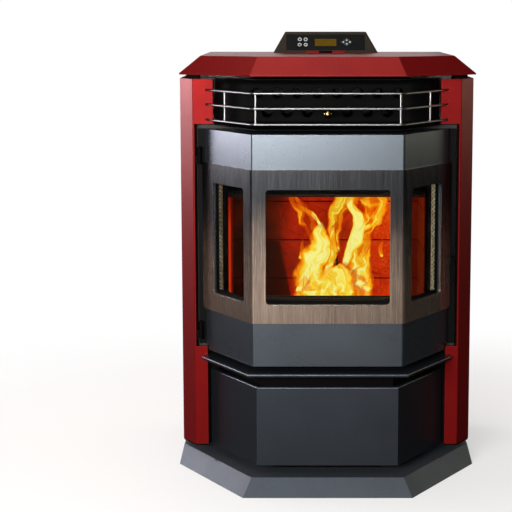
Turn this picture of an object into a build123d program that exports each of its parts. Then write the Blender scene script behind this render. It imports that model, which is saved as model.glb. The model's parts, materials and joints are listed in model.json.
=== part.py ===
"""Pellet stove with a bay front, three windows, an ash drawer and a top hopper.

Millimetres, +Z up, +X to the right seen from the front, +Y to the back. While a piece is made,
Y = 0 is the front face of the door. Every piece is then moved so that the origin lies on the
floor under the middle of the whole stove.
"""
from build123d import *
import os
from math import atan, cos, degrees, radians, sin, sqrt, tan

# ---------------------------------------------------------------- driving dimensions
# Bay front: three faces, the outer two turned back by the bay angle
BAY_ANGLE = 60.0
BAY_HALF = 148.9             # half width of the middle door face

# Plinth
PLINTH_HEIGHT = 34.5
PLINTH_FRONT = -34.0         # lower front edge of the skirt
PLINTH_TOP_FRONT = -6.0      # upper front edge of the skirt
PLINTH_HALF = 313.0
PLINTH_TOP_HALF = 305.0
PLINTH_BEHIND = 10.0         # plinth behind the back edge of the panels
PLINTH_WALL = 2.5
PLINTH_SOFT = 1.5
PLINTH_FOOT = 14.0           # inward flange that stands on the floor

# Casing
BODY_HALF = 304.1            # outer face of the side panels
BODY_BACK = 558.0            # back edge of the side panels
PANEL_FACE = 172.0           # front strip of the side panels
PANEL_FOLD = 275.1           # fold between the front strip and the chamfer
PANEL_BOTTOM = 55.8
PANEL_RISE = 92.6            # top of the side panels above the floor of the duct
PANEL_WALL = 1.5
PANEL_BEND = 2.5
PANEL_LIP = 18.0             # return behind each inner edge
STRIP_LOW = 248.2            # inner edge beside the drawer
STRIP_DOOR = 272.0           # inner edge beside the door
STRIP_TOP = 233.6            # inner edge beside the outlet
NOTCH_LOW = 265.5
NOTCH_RISE = 10.2            # notch above the top of the door
SIDE_WALL = 1.5
SIDE_HALF = 289.5            # outer face of the inner side plates
SIDE_FLANGE = 8.0            # lap of the side plates behind the firebox frame
LUG_FRONT = 270.0            # lugs between the side plates and the side panels
LUG_SETBACK = 58.0           # rear lugs in front of the back edge
LUG_LOW = 200.0
LUG_DROP = 80.6              # upper lugs under the top of the side panels
LUG_LENGTH = 24.0
LUG_WALL = 2.0
PAN_WALL = 3.0
RISER_INSET = 40.0           # riser inside the edges of the base pan
PAN_EDGE = 1.0               # base pan inside the outer face of the panels

# Door
DOOR_LOW = 259.4
DOOR_HIGH = 718.8
DOOR_WALL = 4.0
DOOR_FACET_END = 250.0       # half width at the end of the outer faces
DOOR_BACK = 190.0
DOOR_HALF = 266.0            # edge of the back flange
DOOR_BEND = 5.0
DOOR_CORNER_HALF = 245.8     # lower corners, cut back beside the low strips
DOOR_CORNER_FRONT = 100.0
PLATE_WALL = 3.0
PLATE_LOW = 345.9
PLATE_DROP = 68.1            # top of the plate under the top of the door
PLATE_REACH = 213.0          # length of the plate along an outer face
PLATE_ROUND_HIGH = 6.0
PLATE_ROUND_LOW = 11.0
PLATE_BEND = 8.0
WINDOW_HALF = 122.2
WINDOW_LOW = 384.0
WINDOW_DROP = 107.2          # top of the windows under the top of the door
WINDOW_ROUND = 7.0
SIDE_WINDOW_START = 30.0     # distance from the bend along the outer face
SIDE_WINDOW_END = 164.0
GLASS_WALL = 4.0
GLASS_LAP = 10.0             # glass beyond the window edge
FRAME_WALL = 6.0             # spacer frame between the shell and the glass
FRAME_SHOW = 7.0             # lower rail that shows above the window edge
ROPE_RADIUS = 5.6
ROPE_LEAD = 2.3              # rope middle line beyond the window edge
SEAL_HALF = 212.0            # middle line of the door seal
SEAL_LOW = 360.0
SEAL_DROP = 134.8            # top run of the door seal under the top of the door
SEAL_WIDTH = 9.0
SEAL_GAP = 0.4
SEAL_ROUND = 12.0            # corners of the door seal

# Hinges and latch
HINGE_X = 262.0
HINGE_Y = 172.0
KNUCKLE_RADIUS = 4.4
KNUCKLE_LENGTH = 18.0
HINGE_PIN_RADIUS = 2.4
HINGE_RISE = 40.6            # lower hinge above the bottom of the door
HINGE_DROP = 54.8            # upper hinge under the top of the door
HINGE_LEAF = 3.0
HINGE_ARM = 4.0
RUNNING = 0.05               # radial clearance of every turning or sliding pin
AXIAL = 0.4                  # end clearance of every turning piece
LATCH_X = 263.0
LATCH_Z = 450.0
LATCH_BEHIND = 8.0           # latch pin behind the hinge pins
LATCH_WIDTH = 5.0
LATCH_HALF = 3.0             # half depth of the lever
LATCH_BOSS_RADIUS = 5.0
LATCH_HANDLE = 52.0
LATCH_PIN_RADIUS = 2.0
LATCH_EAR = 2.5
LATCH_REACH = 2.3            # finger beyond the edges that it passes
STRIKE_HEIGHT = 6.0

# Drawer, shelf
DRAWER_INSET = 13.0
DRAWER_LOW = 53.7
DRAWER_HIGH = 215.0
DRAWER_WALL = 2.5
DRAWER_ROLL = 4.0            # rolled top edge of the drawer front
DRAWER_DEPTH = 188.0         # back end of the outer faces of the drawer front
TRAY_HALF = 198.0
TRAY_BACK = 388.0
TRAY_WALL = 1.5
TRAY_SIDE = 42.0
TRAY_RISE = 2.1              # underside of the tray above the base pan
RAIL_WIDTH = 6.0
RAIL_WALL = 4.0
RAIL_RISE = 18.0             # rail above the underside of the tray
RAIL_SETBACK = 4.0           # rail behind the front plate
CHANNEL_WALL = 2.0           # wall of the runners round the rails
PAN_HALF = 188.0
PAN_FRONT = 116.0
PAN_HIGH = 198.0
PAN_RIM = 4.0
PAN_PLAY = 4.0               # between the ash pan and the back of the tray
APRON_INSET = 30.0
APRON_LOW = 209.0
DRAWER_MARGIN = 16.0         # opening of the front plate beside the tray
SHELF_INSET = -18.0
SHELF_LOW = 240.3
SHELF_HIGH = 248.0
SHELF_TIP = 259.0
SHELF_ROUND = 10.0
SHELF_EDGE = 3.2
SHELF_CLEAR = 3.0            # between the shelf and the side panels

# Fire chamber
FRAME_FRONT = 196.0
FRAME_PLATE = 4.0
FRAME_HALF = 268.0
MOUTH_HALF = 204.0
MOUTH_LOW = 368.0
MOUTH_DROP = 142.8           # top of the mouth under the top of the door
FIREBOX_HALF = 218.0
FIREBOX_BACK = 400.0
FIREBOX_LOW = 262.0
FIREBOX_DROP = 24.0          # roof of the firebox under the floor of the duct
FIREBOX_WALL = 4.0
BRICK_WALL = 12.0
BRICK_COURSE = 85.2
BRICK_JOINT_Z = 375.4        # a bed joint level with the burn pot rim
BRICK_LENGTH = 118.0
BRICK_DROP = 122.8           # top of the bricks under the top of the door
GROOVE = 3.0
BAFFLE_WALL = 4.0
BAFFLE_GAP = 30.0            # way for the gas in front of the baffle
POT_HALF = 60.0
POT_FRONT = 252.0
POT_BACK = 350.0
POT_HIGH = 372.0
POT_DEPTH = 78.0
POT_WALL = 5.0
POT_RIM = 6.0
POT_HOLE_RADIUS = 3.0
POT_HOLE_PITCH = 20.0
POT_ROW_PITCH = 26.0
POT_SIDE_HOLES = 30.0        # front holes above the underside of the pot
SUPPORT_WALL = 3.0
IGNITER_RADIUS = 5.0
IGNITER_IN = 3.0             # rod inside the back of the burn pot
IGNITER_TAIL = 26.0          # rod behind the firebox
SLOT_MARGIN = 20.0
SLOT_INNER = 92.0            # ash slots in the firebox floor
SLOT_OUTER = 186.0

# Heat exchanger and outlet
DUCT_BACK = 110.0
DUCT_HALF = 191.0            # half width of the flat back of the duct, to the bend
DUCT_RISE = 9.2              # floor of the duct above the top of the door
DUCT_HEIGHT = 96.0
DUCT_ROUND = 50.0
DUCT_COVE = 14.0
DUCT_WALL = 2.0
DUCT_SIDE_GAP = 4.0          # between the duct and the inner edge of the red strips
DUCT_LIP = 12.0              # front edge of the duct floor behind the door face
EXCHANGER_BACK = 236.0
TUBE_RADIUS = 12.3
TUBE_WALL = 1.5
TUBE_PITCH = 40.3
TUBE_COUNT = 8               # tubes in the upper row
TUBE_UPPER_RISE = 67.0       # tube rows above the floor of the duct
TUBE_LOWER_RISE = 29.0
TUBE_PROUD = 1.5
BOX_MARGIN = 8.0             # gas box beyond the outermost tubes
NECK_INSET = 20.0            # neck of the gas box inside its sides
NECK_SETBACK = 4.0           # neck behind the firebox frame
ROD_RADIUS = 2.35            # grille rods
ROD_RISES = (10.0, 41.0, 70.4)   # rods above the floor of the duct
ROD_BEND = 12.0
ROD_END = 8.0                # rod ends behind the front strips
STAY_RADIUS = 1.9
STAY_STEP = 3.1              # stay behind the middle line of the rods
STAY_INNER = 141.0
STAY_OUTER = 206.0
SCRAPER_ROD_RADIUS = 4.0
SCRAPER_WALL = 3.0
SCRAPER_REST = 8.0           # plate in front of the back of the gas box
SCRAPER_LAP = 6.0            # plate beyond the tubes above and below
SCRAPER_PLAY = 2.0           # plate inside the walls of the gas box
KNOB_RADIUS = 8.7
KNOB_Y = 40.0

# Top
DECK_WALL = 2.0
DECK_MARGIN = 6.0            # deck inside the edges of the front strips
COVER_RISE = 8.0             # cover above the roof of the duct
COVER_HEIGHT = 37.0
COVER_FRONT = -5.0
COVER_HALF = 151.0           # half width of the front edge
COVER_SIDE_FRONT = 100.0
COVER_SIDE_HALF = 296.0
COVER_BACK_HALF = 300.0
COVER_BEHIND = 8.0           # cover behind the back edge of the panels
COVER_BEVEL = 41.5
COVER_WALL = 2.0
COVER_SOFT = 3.0             # rounding of the cover's ridges
COVER_EDGE = 3.0             # upright band under the bevel
LID_HALF = 190.0
LID_FRONT = 214.0
LID_BACK = 386.0
LID_GAP = 1.5
LID_WALL = 2.5
LID_ROUND = 8.0
LID_AXIS_Y = 395.0
LID_KNUCKLE_RADIUS = 2.2
LID_PIN_RADIUS = 1.1
LID_BARREL = 84.0
LID_LEAF = 12.0
LEDGE_WIDTH = 8.0            # ledge under the edge of the lid
SCOOP_HALF = 34.0            # finger scoop in front of the lid
SCOOP_DEPTH = 14.0

# Hopper and feed
HOPPER_WALL = 1.5
HOPPER_HALF = 184.0
HOPPER_FRONT = 220.0
HOPPER_MOUTH_BACK = 382.0
HOPPER_DROP = 7.0            # rim of the hopper under the top of the cover
HOPPER_BEND_DROP = 23.0      # first bend under the top of the cover
HOPPER_KNEE_RISE = 8.0       # knee above the roof of the firebox
HOPPER_SETBACK = 22.0        # back of the hopper in front of the back edge
FUNNEL_DROP = 72.0           # funnel under the knee
THROAT_HALF = 20.0
THROAT_LENGTH = 52.0
THROAT_SETBACK = 22.0        # throat in front of the end of the feed tube
HOPPER_SHOULDER = 40.0       # upright part of the back above the knee
NECK_RISE = 60.0             # lower end of the funnel above the auger
AUGER_Z = 415.0
AUGER_TUBE_RADIUS = 28.0
AUGER_TUBE_WALL = 2.0
AUGER_RADIUS = 24.0
AUGER_SHAFT_RADIUS = 6.0
AUGER_START = 352.0
AUGER_ROOM = 52.0     # end of the feed tube in front of the back edge
AUGER_TURNS = 3
AUGER_FLIGHT = 3.0
AUGER_CAP = 3.0
AUGER_SETBACK = 8.0          # screw behind the open end of the tube
AUGER_TAIL = 8.0             # shaft in the gearbox
SPOUT_LENGTH = 18.0
SPOUT_DROP = 6.0
GEARBOX_HALF = 42.0
GEARBOX_LENGTH = 28.0
GEARBOX_BELOW = 34.0
GEARBOX_ABOVE = 48.0
GEAR_OFFSET = 14.0           # motor above the shaft
AUGER_MOTOR_RADIUS = 21.0
MOTOR_CLEAR = 4.0            # motor in front of the rear panel

# Blowers, pipes
EXHAUST_X = -120.0
EXHAUST_Z = 150.0
EXHAUST_RADIUS = 62.0
EXHAUST_DEPTH = 50.0
EXHAUST_SETBACK = 74.0       # drum in front of the back edge
BLOWER_WALL = 2.0
IMPELLER_RADIUS = 50.0
IMPELLER_BLADES = 8
IMPELLER_DISC = 2.5
IMPELLER_SETBACK = 4.0       # wheel behind the front wall of its drum
IMPELLER_HUB_RADIUS = 10.0
IMPELLER_HUB = 18.0
BLADE_WIDTH = 22.0
BLADE_WALL = 2.0
MOTOR_RADIUS = 27.0
MOTOR_SHAFT_RADIUS = 4.0
SHAFT_TAIL = 8.0             # blower shaft inside its motor
SHAFT_BORE = 10.0
BLOWER_FOOT_HALF = 30.0
BLOWER_FOOT_INSET = 6.0
FLUE_RADIUS = 38.1
FLUE_WALL = 1.5
FLUE_BEHIND = 48.0           # flue stub behind the back edge
PIPE_STEP = 1.2              # how much narrower a pipe is inside the casing
PIPE_SHOULDER = 2.0          # step of a pipe behind the rear panel
INTAKE_X = 30.0
INTAKE_Z = 302.0
INTAKE_RADIUS = 25.4
INTAKE_BEHIND = 40.0
CHANNEL_HALF = 42.0          # flue channel behind the firebox
CHANNEL_DEPTH = 26.0
CHANNEL_LAP = 14.0           # channel below the top of the blower drum
ELBOW_HEIGHT = 44.0
PORT_INSET = 8.0             # flue port inside the channel
PORT_HEIGHT = 40.0
PORT_DROP = 14.0             # port under the roof of the firebox
ROOM_FAN_X = 62.0            # left face of the room air blower
ROOM_FAN_WIDTH = 96.0
ROOM_FAN_SETBACK = 80.0      # shaft in front of the back edge
ROOM_FAN_Z = 134.0
ROOM_FAN_RADIUS = 58.0
ROOM_FAN_SNOUT = 26.0        # outlet above the drum
ROOM_FAN_CUT = 6.0           # back of the outlet in front of the shaft
ROOM_FOOT_HALF = 20.0
ROOM_FOOT_INSET = 10.0
ROOM_MOTOR_LENGTH = 52.0
WHEEL_RADIUS = 46.0
WHEEL_BLADES = 24
WHEEL_SIDE_GAP = 6.0
WHEEL_DISC = 2.0
WHEEL_RING = 3.0
WHEEL_RING_WIDTH = 7.0
WHEEL_BLADE_WALL = 1.6
WHEEL_BLADE_WIDTH = 6.0
WHEEL_INLET_LAP = 14.0       # drum inlet inside the rim of the wheel

# Back and controls
REAR_WALL = 1.5
VENT_COUNT = 7
VENT_LENGTH = 90.0
VENT_HEIGHT = 5.0
VENT_PITCH = 15.0
VENT_LOW_Z = 80.0            # lowest slot beside the room air blower
VENT_DROP = 180.6            # lowest slot of the two upper groups under the top of the panels
VENT_HIGH_X = 170.0
INLET_X = 215.0
INLET_Z = 120.0
INLET_HALF = 13.5
INLET_HALF_HEIGHT = 9.5
INLET_DEPTH = 22.0
INLET_WALL = 2.5
INLET_FLANGE_HALF = 24.0
INLET_FLANGE_HALF_HEIGHT = 14.0
INLET_FLANGE = 3.0
INLET_RECESS = 14.0
CONTACT_PITCH = 6.0
CONTACT_HALF = 1.0
CONTACT_HALF_HEIGHT = 2.0
SWITCH_Z = 160.0
SWITCH_HALF = 9.5
SWITCH_HALF_HEIGHT = 6.5
SWITCH_DEPTH = 18.0
SWITCH_RECESS = 12.0
SWITCH_WALL = 1.0
SWITCH_FLANGE = 3.5
SWITCH_PLATE = 2.0
ROCKER_HALF = 8.2
ROCKER_RADIUS = 5.0
ROCKER_PROUD = 4.2
ROCKER_HALF_HEIGHT = 4.2
SENSOR_SETBACK = 88.0        # vacuum switch on the left side plate, in front of the back edge
SENSOR_Z = 330.0
SENSOR_RADIUS = 26.0
SENSOR_LENGTH = 22.0
SENSOR_NECK_RADIUS = 9.0
SENSOR_NECK = 10.0
NIPPLE_RADIUS = 2.5
NIPPLE_LENGTH = 12.0
NIPPLE_OFFSET = 5.0
CONSOLE_HALF = 114.0
CONSOLE_TOP_HALF = 88.5
CONSOLE_SETBACK = 40.0       # console in front of the back edge
CONSOLE_DEPTH = 115.0
CONSOLE_LEAN = 25.0          # front face leans back by
CONSOLE_BACK_LEAN = 18.0     # back face leans in by
CONSOLE_HEIGHT = 45.0
CONSOLE_WALL = 3.0
CONSOLE_RIDGE = 5.0          # rounding of the upright ridges
CONSOLE_RIM = 2.5            # rounding of the top edges
FACE_HALF = 86.0
FACE_MARGIN = 6.0
FACE_WALL = 2.0
FACE_PLAY = 0.2              # faceplate inside its recess
OPENING_MARGIN = 1.0         # housing behind the openings of the faceplate
DISPLAY_HALF = 23.5
DISPLAY_HEIGHT = 17.0
DISPLAY_DROP = 0.4           # screen below the faceplate
KEY_RADIUS = 4.6
KEY_SPACING = 13.0
KEY_TRAVEL = 1.0
KEY_PROUD = 1.4
PAD_PROUD = 1.2
PAD_ASPECT = 0.78            # height of the diamond over its width
KEYS_X = -50.0
PAD_X = 46.0
PAD_HALF = 13.0
KEY_CLEARANCE = 0.25
BOARD_DEPTH = 9.0            # board behind the sloping face
BOARD_WALL = 1.6
BOARD_INSET = 4.0            # board inside the ends of the faceplate
BOARD_EDGE = 2.0             # board inside the long edges of the faceplate
POST_X = 74.0
POST_HALF = 3.0
POST_PLAY = 0.3              # posts behind the housing wall
SCREW_RADIUS = 3.2
SCREW_HEAD = 1.7
PLINTH_SCREW_X = 232.0
PLINTH_SCREW_Y = 128.0
PANEL_SCREW_INSET = 12.0
PANEL_SCREW_LOW = 80.0
PANEL_SCREW_DROP = 80.6      # highest screws under the top of the side panels
PANEL_SCREW_COUNT = 4        # screws in each edge of the rear panel

FIT = 0.5                    # clearance of one fixed piece round another
EPS = 0.3                    # clearance between bodies that pass or rest near each other
WELD = 0.2                   # overlap of two forms that make one piece
THROUGH = 1.0                # cutters beyond the faces that they open

# ---------------------------------------------------------------- derived places
# Heights, from the door up
PLATE_HIGH = DOOR_HIGH - PLATE_DROP
WINDOW_HIGH = DOOR_HIGH - WINDOW_DROP
SEAL_HIGH = DOOR_HIGH - SEAL_DROP
MOUTH_HIGH = DOOR_HIGH - MOUTH_DROP
BRICK_TOP = DOOR_HIGH - BRICK_DROP
NOTCH_HIGH = DOOR_HIGH + NOTCH_RISE
HINGE_HEIGHTS = (DOOR_LOW + HINGE_RISE, DOOR_HIGH - HINGE_DROP)
DUCT_LOW = DOOR_HIGH + DUCT_RISE
DUCT_HIGH = DUCT_LOW + DUCT_HEIGHT
TUBE_UPPER = DUCT_LOW + TUBE_UPPER_RISE
TUBE_LOWER = DUCT_LOW + TUBE_LOWER_RISE
ROD_HEIGHTS = tuple(DUCT_LOW + rise for rise in ROD_RISES)
PANEL_TOP = DUCT_LOW + PANEL_RISE
FIREBOX_HIGH = DUCT_LOW - FIREBOX_DROP
PORT_HIGH = FIREBOX_HIGH - PORT_DROP
PORT_LOW = PORT_HIGH - PORT_HEIGHT
COVER_LOW = DUCT_HIGH + COVER_RISE
COVER_HIGH = COVER_LOW + COVER_HEIGHT
CONSOLE_HIGH = COVER_HIGH + CONSOLE_HEIGHT
HOPPER_TOP = COVER_HIGH - HOPPER_DROP
HOPPER_BEND_Z = COVER_HIGH - HOPPER_BEND_DROP
HOPPER_KNEE_Z = FIREBOX_HIGH + HOPPER_KNEE_RISE
HOPPER_FUNNEL_Z = HOPPER_KNEE_Z - FUNNEL_DROP
NECK_TOP = AUGER_Z + NECK_RISE
LUG_HIGH = PANEL_TOP - LUG_DROP
LUG_HEIGHTS = (LUG_LOW, (LUG_LOW + LUG_HIGH) / 2, LUG_HIGH)
PANEL_SCREW_STEP = (PANEL_TOP - PANEL_SCREW_DROP - PANEL_SCREW_LOW) / (PANEL_SCREW_COUNT - 1)
PANEL_SCREW_HEIGHTS = tuple(PANEL_SCREW_LOW + step * PANEL_SCREW_STEP for step in range(PANEL_SCREW_COUNT))
VENT_HIGH_Z = PANEL_TOP - VENT_DROP

# Depths, from the back edge of the side panels forward
PLINTH_BACK = BODY_BACK + PLINTH_BEHIND
COVER_BACK = BODY_BACK + COVER_BEHIND
LUG_DEPTHS = (LUG_FRONT, BODY_BACK - LUG_SETBACK)
HOPPER_BACK = BODY_BACK - HOPPER_SETBACK
AUGER_END = BODY_BACK - AUGER_ROOM
THROAT_BACK = AUGER_END - THROAT_SETBACK
THROAT_FRONT = THROAT_BACK - THROAT_LENGTH
EXHAUST_BACK = BODY_BACK - EXHAUST_SETBACK
EXHAUST_FRONT = EXHAUST_BACK - EXHAUST_DEPTH
FLUE_END = BODY_BACK + FLUE_BEHIND
INTAKE_END = BODY_BACK + INTAKE_BEHIND
FLUE_NECK = FLUE_RADIUS - PIPE_STEP
INTAKE_NECK = INTAKE_RADIUS - PIPE_STEP
ROOM_FAN_Y = BODY_BACK - ROOM_FAN_SETBACK
SENSOR_Y = BODY_BACK - SENSOR_SETBACK
CONSOLE_BACK = BODY_BACK - CONSOLE_SETBACK
CONSOLE_FRONT = CONSOLE_BACK - CONSOLE_DEPTH
CONSOLE_TOP_FRONT = CONSOLE_FRONT + CONSOLE_LEAN
CONSOLE_TOP_BACK = CONSOLE_BACK - CONSOLE_BACK_LEAN

# Seats and clearances
BAY_TAN = tan(radians(BAY_ANGLE))
BEND_TAN = tan(radians(BAY_ANGLE / 2))
BASE_PAN_TOP = PANEL_BOTTOM - EPS
BASE_PAN_LOW = BASE_PAN_TOP - PAN_WALL
FRAME_BACK = FRAME_FRONT + FRAME_PLATE
CENTRE_Y = (PLINTH_FRONT + FLUE_END) / 2
DECK_HIGH = COVER_LOW
EXCHANGER_LOW = DUCT_LOW + 2 * DUCT_WALL
HOPPER_KNEE_Y = FIREBOX_BACK + CHANNEL_DEPTH + 4
TRAY_LOW = BASE_PAN_TOP + TRAY_RISE
TRAY_FLOOR = TRAY_LOW + TRAY_WALL
LATCH_Y = HINGE_Y + LATCH_BEHIND
REAR_FRONT = BODY_BACK - REAR_WALL
LID_AXIS_Z = COVER_HIGH + LID_KNUCKLE_RADIUS + EPS / 2
KEY_STEM = BOARD_DEPTH - KEY_TRAVEL - EPS
GLASS_FRONT = DOOR_WALL + FRAME_WALL


# ---------------------------------------------------------------- small makers
def block(x0, x1, y0, y1, z0, z1):
    """Rectangular solid between two corners."""
    centre = ((x0 + x1) / 2, (y0 + y1) / 2, (z0 + z1) / 2)
    return Pos(*centre) * Box(x1 - x0, y1 - y0, z1 - z0)


def prism(points, z0, z1):
    """Upright solid on a plan outline."""
    outline = make_face(Polyline(*points, close=True))
    return Pos(0, 0, z0) * extrude(outline, amount=z1 - z0, dir=(0, 0, 1))


def slab_x(points, x0, x1):
    """Solid with the same (y, z) outline all the way from x0 to x1."""
    outline = make_face(Polyline(*[(x0, y, z) for y, z in points], close=True))
    return extrude(outline, amount=x1 - x0, dir=(1, 0, 0))


def bar(start, direction, length, radius):
    """Round bar from a start point along a direction."""
    plane = Plane(origin=start, z_dir=direction)
    return plane * Cylinder(radius, length, align=(Align.CENTER, Align.CENTER, Align.MIN))


def ring(start, direction, length, radius, bore):
    """Round bar with a bore through it."""
    return bar(start, direction, length, radius) - bar(start, direction, length, bore)


def mirrored(shape):
    """The same piece on the other side of the stove."""
    return mirror(shape, about=Plane.YZ)


def parallel(points, distance):
    """Line parallel to an open line, to the left of its direction, with mitred corners."""
    normals = []
    for (xa, ya), (xb, yb) in zip(points, points[1:]):
        length = sqrt((xb - xa) ** 2 + (yb - ya) ** 2)
        normals.append((-(yb - ya) / length, (xb - xa) / length))
    befores = [normals[0]] + normals
    afters = normals + [normals[-1]]
    moved = []
    for (x, y), (ax, ay), (bx, by) in zip(points, befores, afters):
        scale = distance / (1 + ax * bx + ay * by)
        moved.append((x + (ax + bx) * scale, y + (ay + by) * scale))
    return moved


def sheet(points, wall, z0, z1):
    """Folded sheet that stands on a plan line, with its thickness to the left of the line."""
    return prism(points + parallel(points, wall)[::-1], z0, z1)


def bay_half(inset):
    """Half width of the middle face of the bay at a depth behind the door face."""
    return BAY_HALF - inset * BEND_TAN


def bay_to_depth(inset, back):
    """Bay line from the left end to the right end, ending at a given Y."""
    half = bay_half(inset)
    reach = half + (back - inset) / BAY_TAN
    return [(-reach, back), (-half, inset), (half, inset), (reach, back)]


def bay_to_reach(inset, reach):
    """Bay line whose ends lie at a given X."""
    half = bay_half(inset)
    back = inset + (reach - half) * BAY_TAN
    return [(-reach, back), (-half, inset), (half, inset), (reach, back)]


def facet_plane(inset):
    """Plane of the right outer face: x along the face from its bend, y up, z outwards."""
    turn = radians(BAY_ANGLE)
    return Plane(origin=(bay_half(inset), inset, 0), x_dir=(cos(turn), sin(turn), 0),
                 z_dir=(sin(turn), -cos(turn), 0))


def front_plane(inset):
    """Plane of the middle face: x to the right, y up, z outwards."""
    return Plane(origin=(0, inset, 0), x_dir=(1, 0, 0), z_dir=(0, -1, 0))


def tile(plane, x0, x1, z0, z1, wall, radius=0.0):
    """Flat plate behind a plane, with rounded corners where a radius is given."""
    shape = Rectangle(x1 - x0, z1 - z0)
    if radius:
        shape = RectangleRounded(x1 - x0, z1 - z0, radius)
    flat = Pos((x0 + x1) / 2, (z0 + z1) / 2) * shape
    return plane * extrude(flat, amount=-wall)


def window_cutters(grow, depth):
    """Cutters for the three windows, grown by an amount, through a depth of the bay."""
    radius = WINDOW_ROUND + max(grow, 0)
    z0 = WINDOW_LOW - grow
    z1 = WINDOW_HIGH + grow
    start = SIDE_WINDOW_START - grow
    end = SIDE_WINDOW_END + grow
    half = WINDOW_HALF + grow
    middle = tile(front_plane(-2 * depth), -half, half, z0, z1, 4 * depth, radius)
    side = tile(facet_plane(0), start, end, z0, z1, 2 * depth, radius)
    side += tile(facet_plane(0), start, end, z0, z1, -2 * depth, radius)
    return [middle, side, mirrored(side)]


def bend_edges(shape, inset):
    """Upright edges at the two bends of the bay line of an inset."""
    def at_bend(edge):
        point = edge.center()
        return abs(abs(point.X) - bay_half(inset)) < 0.05 and abs(point.Y - inset) < 0.05
    return [edge for edge in shape.edges().filter_by(Axis.Z) if at_bend(edge)]


def cut(shape, cutters):
    """A shape with each cutter taken away."""
    for cutter in cutters:
        shape = shape - cutter
    return shape


def joined(shapes):
    """Several overlapping or touching shapes fused into one."""
    total = shapes[0]
    for shape in shapes[1:]:
        total = total + shape
    return total


nodes = {}


# ---------------------------------------------------------------- plinth and casing
def make_plinth():
    """Sloped skirt with a top plate and an inward foot flange."""
    def outline(front, half, back, height):
        bend = BAY_HALF - front * BEND_TAN
        side = front + (half - bend) * BAY_TAN
        points = [(-half, back), (-half, side), (-bend, front), (bend, front), (half, side), (half, back)]
        return Polyline(*[(x, y, height) for x, y in points], close=True)

    def skirt(inset, z0, z1):
        side_low = PLINTH_HALF - inset
        side_high = PLINTH_TOP_HALF - inset
        low = outline(PLINTH_FRONT + inset, side_low, PLINTH_BACK - inset, 0)
        high = outline(PLINTH_TOP_FRONT + inset, side_high, PLINTH_BACK - inset, PLINTH_HEIGHT)
        solid = loft([make_face(low), make_face(high)], ruled=True)
        big = 2 * PLINTH_BACK
        return solid & block(-big, big, -big, big, z0, z1)

    hollow = skirt(PLINTH_WALL, PLINTH_WALL, PLINTH_HEIGHT - PLINTH_WALL)
    opening = skirt(PLINTH_FOOT, 0, PLINTH_HEIGHT / 2)
    solid = skirt(0, 0, PLINTH_HEIGHT)
    rims = [edge for edge in solid.edges() if edge.center().Z > PLINTH_HEIGHT - 0.1]
    return fillet(rims, PLINTH_SOFT) - hollow - opening


def pan_outline():
    """Plan of the base pan: bay, then the line just inside the side panels."""
    bay = bay_to_depth(APRON_INSET + EPS, FRAME_FRONT)
    line = [(STRIP_LOW + PAN_EDGE, PANEL_FACE), (PANEL_FOLD, PANEL_FACE),
            (BODY_HALF, PANEL_FACE + (BODY_HALF - PANEL_FOLD) * BAY_TAN), (BODY_HALF, BODY_BACK)]
    right = [bay[3], (STRIP_LOW + PAN_EDGE, FRAME_FRONT)] + parallel(line, PAN_EDGE)
    return [(-x, y) for x, y in right[::-1]] + bay[1:3] + right


def riser_outline(inset):
    """Plan of the riser between the plinth and the base pan, drawn in by an amount."""
    bay = bay_to_reach(APRON_INSET + inset, STRIP_LOW - inset)
    right = [bay[3], (STRIP_LOW - inset, BODY_BACK - inset)]
    return [(-x, y) for x, y in right[::-1]] + bay[1:3] + right


def make_base_pan():
    """Bottom sheet of the casing with the recessed riser that stands on the plinth."""
    pan = prism(pan_outline(), BASE_PAN_LOW, BASE_PAN_TOP)
    riser = prism(riser_outline(RISER_INSET), PLINTH_HEIGHT, BASE_PAN_LOW)
    core = prism(riser_outline(RISER_INSET + PAN_WALL), PLINTH_HEIGHT, BASE_PAN_LOW)
    return pan + (riser - core)


def upright_at(shape, points):
    """Upright edges that stand on the given plan points."""
    def stands(edge):
        place = edge.center()
        return any(abs(place.X - x) < 0.05 and abs(place.Y - y) < 0.05 for x, y in points)
    return [edge for edge in shape.edges().filter_by(Axis.Z) if stands(edge)]


def make_side_panel():
    """Right side panel: front strip with a notch for the door, chamfer, side and back return."""
    corner_y = PANEL_FACE + (BODY_HALF - PANEL_FOLD) * BAY_TAN
    line = [(STRIP_TOP, PANEL_FACE), (PANEL_FOLD, PANEL_FACE), (BODY_HALF, corner_y),
            (BODY_HALF, BODY_BACK), (SIDE_HALF + FIT, BODY_BACK)]
    panel = sheet(line, PANEL_WALL, PANEL_BOTTOM, PANEL_TOP)
    panel = fillet(upright_at(panel, line[1:4]), PANEL_BEND)
    front = PANEL_FACE - PANEL_WALL
    deep = PANEL_FACE + 2 * PANEL_WALL
    low_notch = block(STRIP_TOP - THROUGH, STRIP_LOW, front, deep, PANEL_BOTTOM - THROUGH, NOTCH_LOW)
    door_notch = block(STRIP_TOP - THROUGH, STRIP_DOOR, front, deep, NOTCH_LOW, NOTCH_HIGH)
    panel = panel - low_notch - door_notch
    edges = [(STRIP_LOW, PANEL_BOTTOM, NOTCH_LOW), (STRIP_DOOR, NOTCH_LOW, NOTCH_HIGH),
             (STRIP_TOP, NOTCH_HIGH, PANEL_TOP)]
    for inner, z0, z1 in edges:
        panel = panel + block(inner, inner + PANEL_WALL, PANEL_FACE, PANEL_FACE + PANEL_LIP, z0, z1)
    return cut(panel, [grille_end(height, ROD_RADIUS + EPS) for height in ROD_HEIGHTS])


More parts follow.
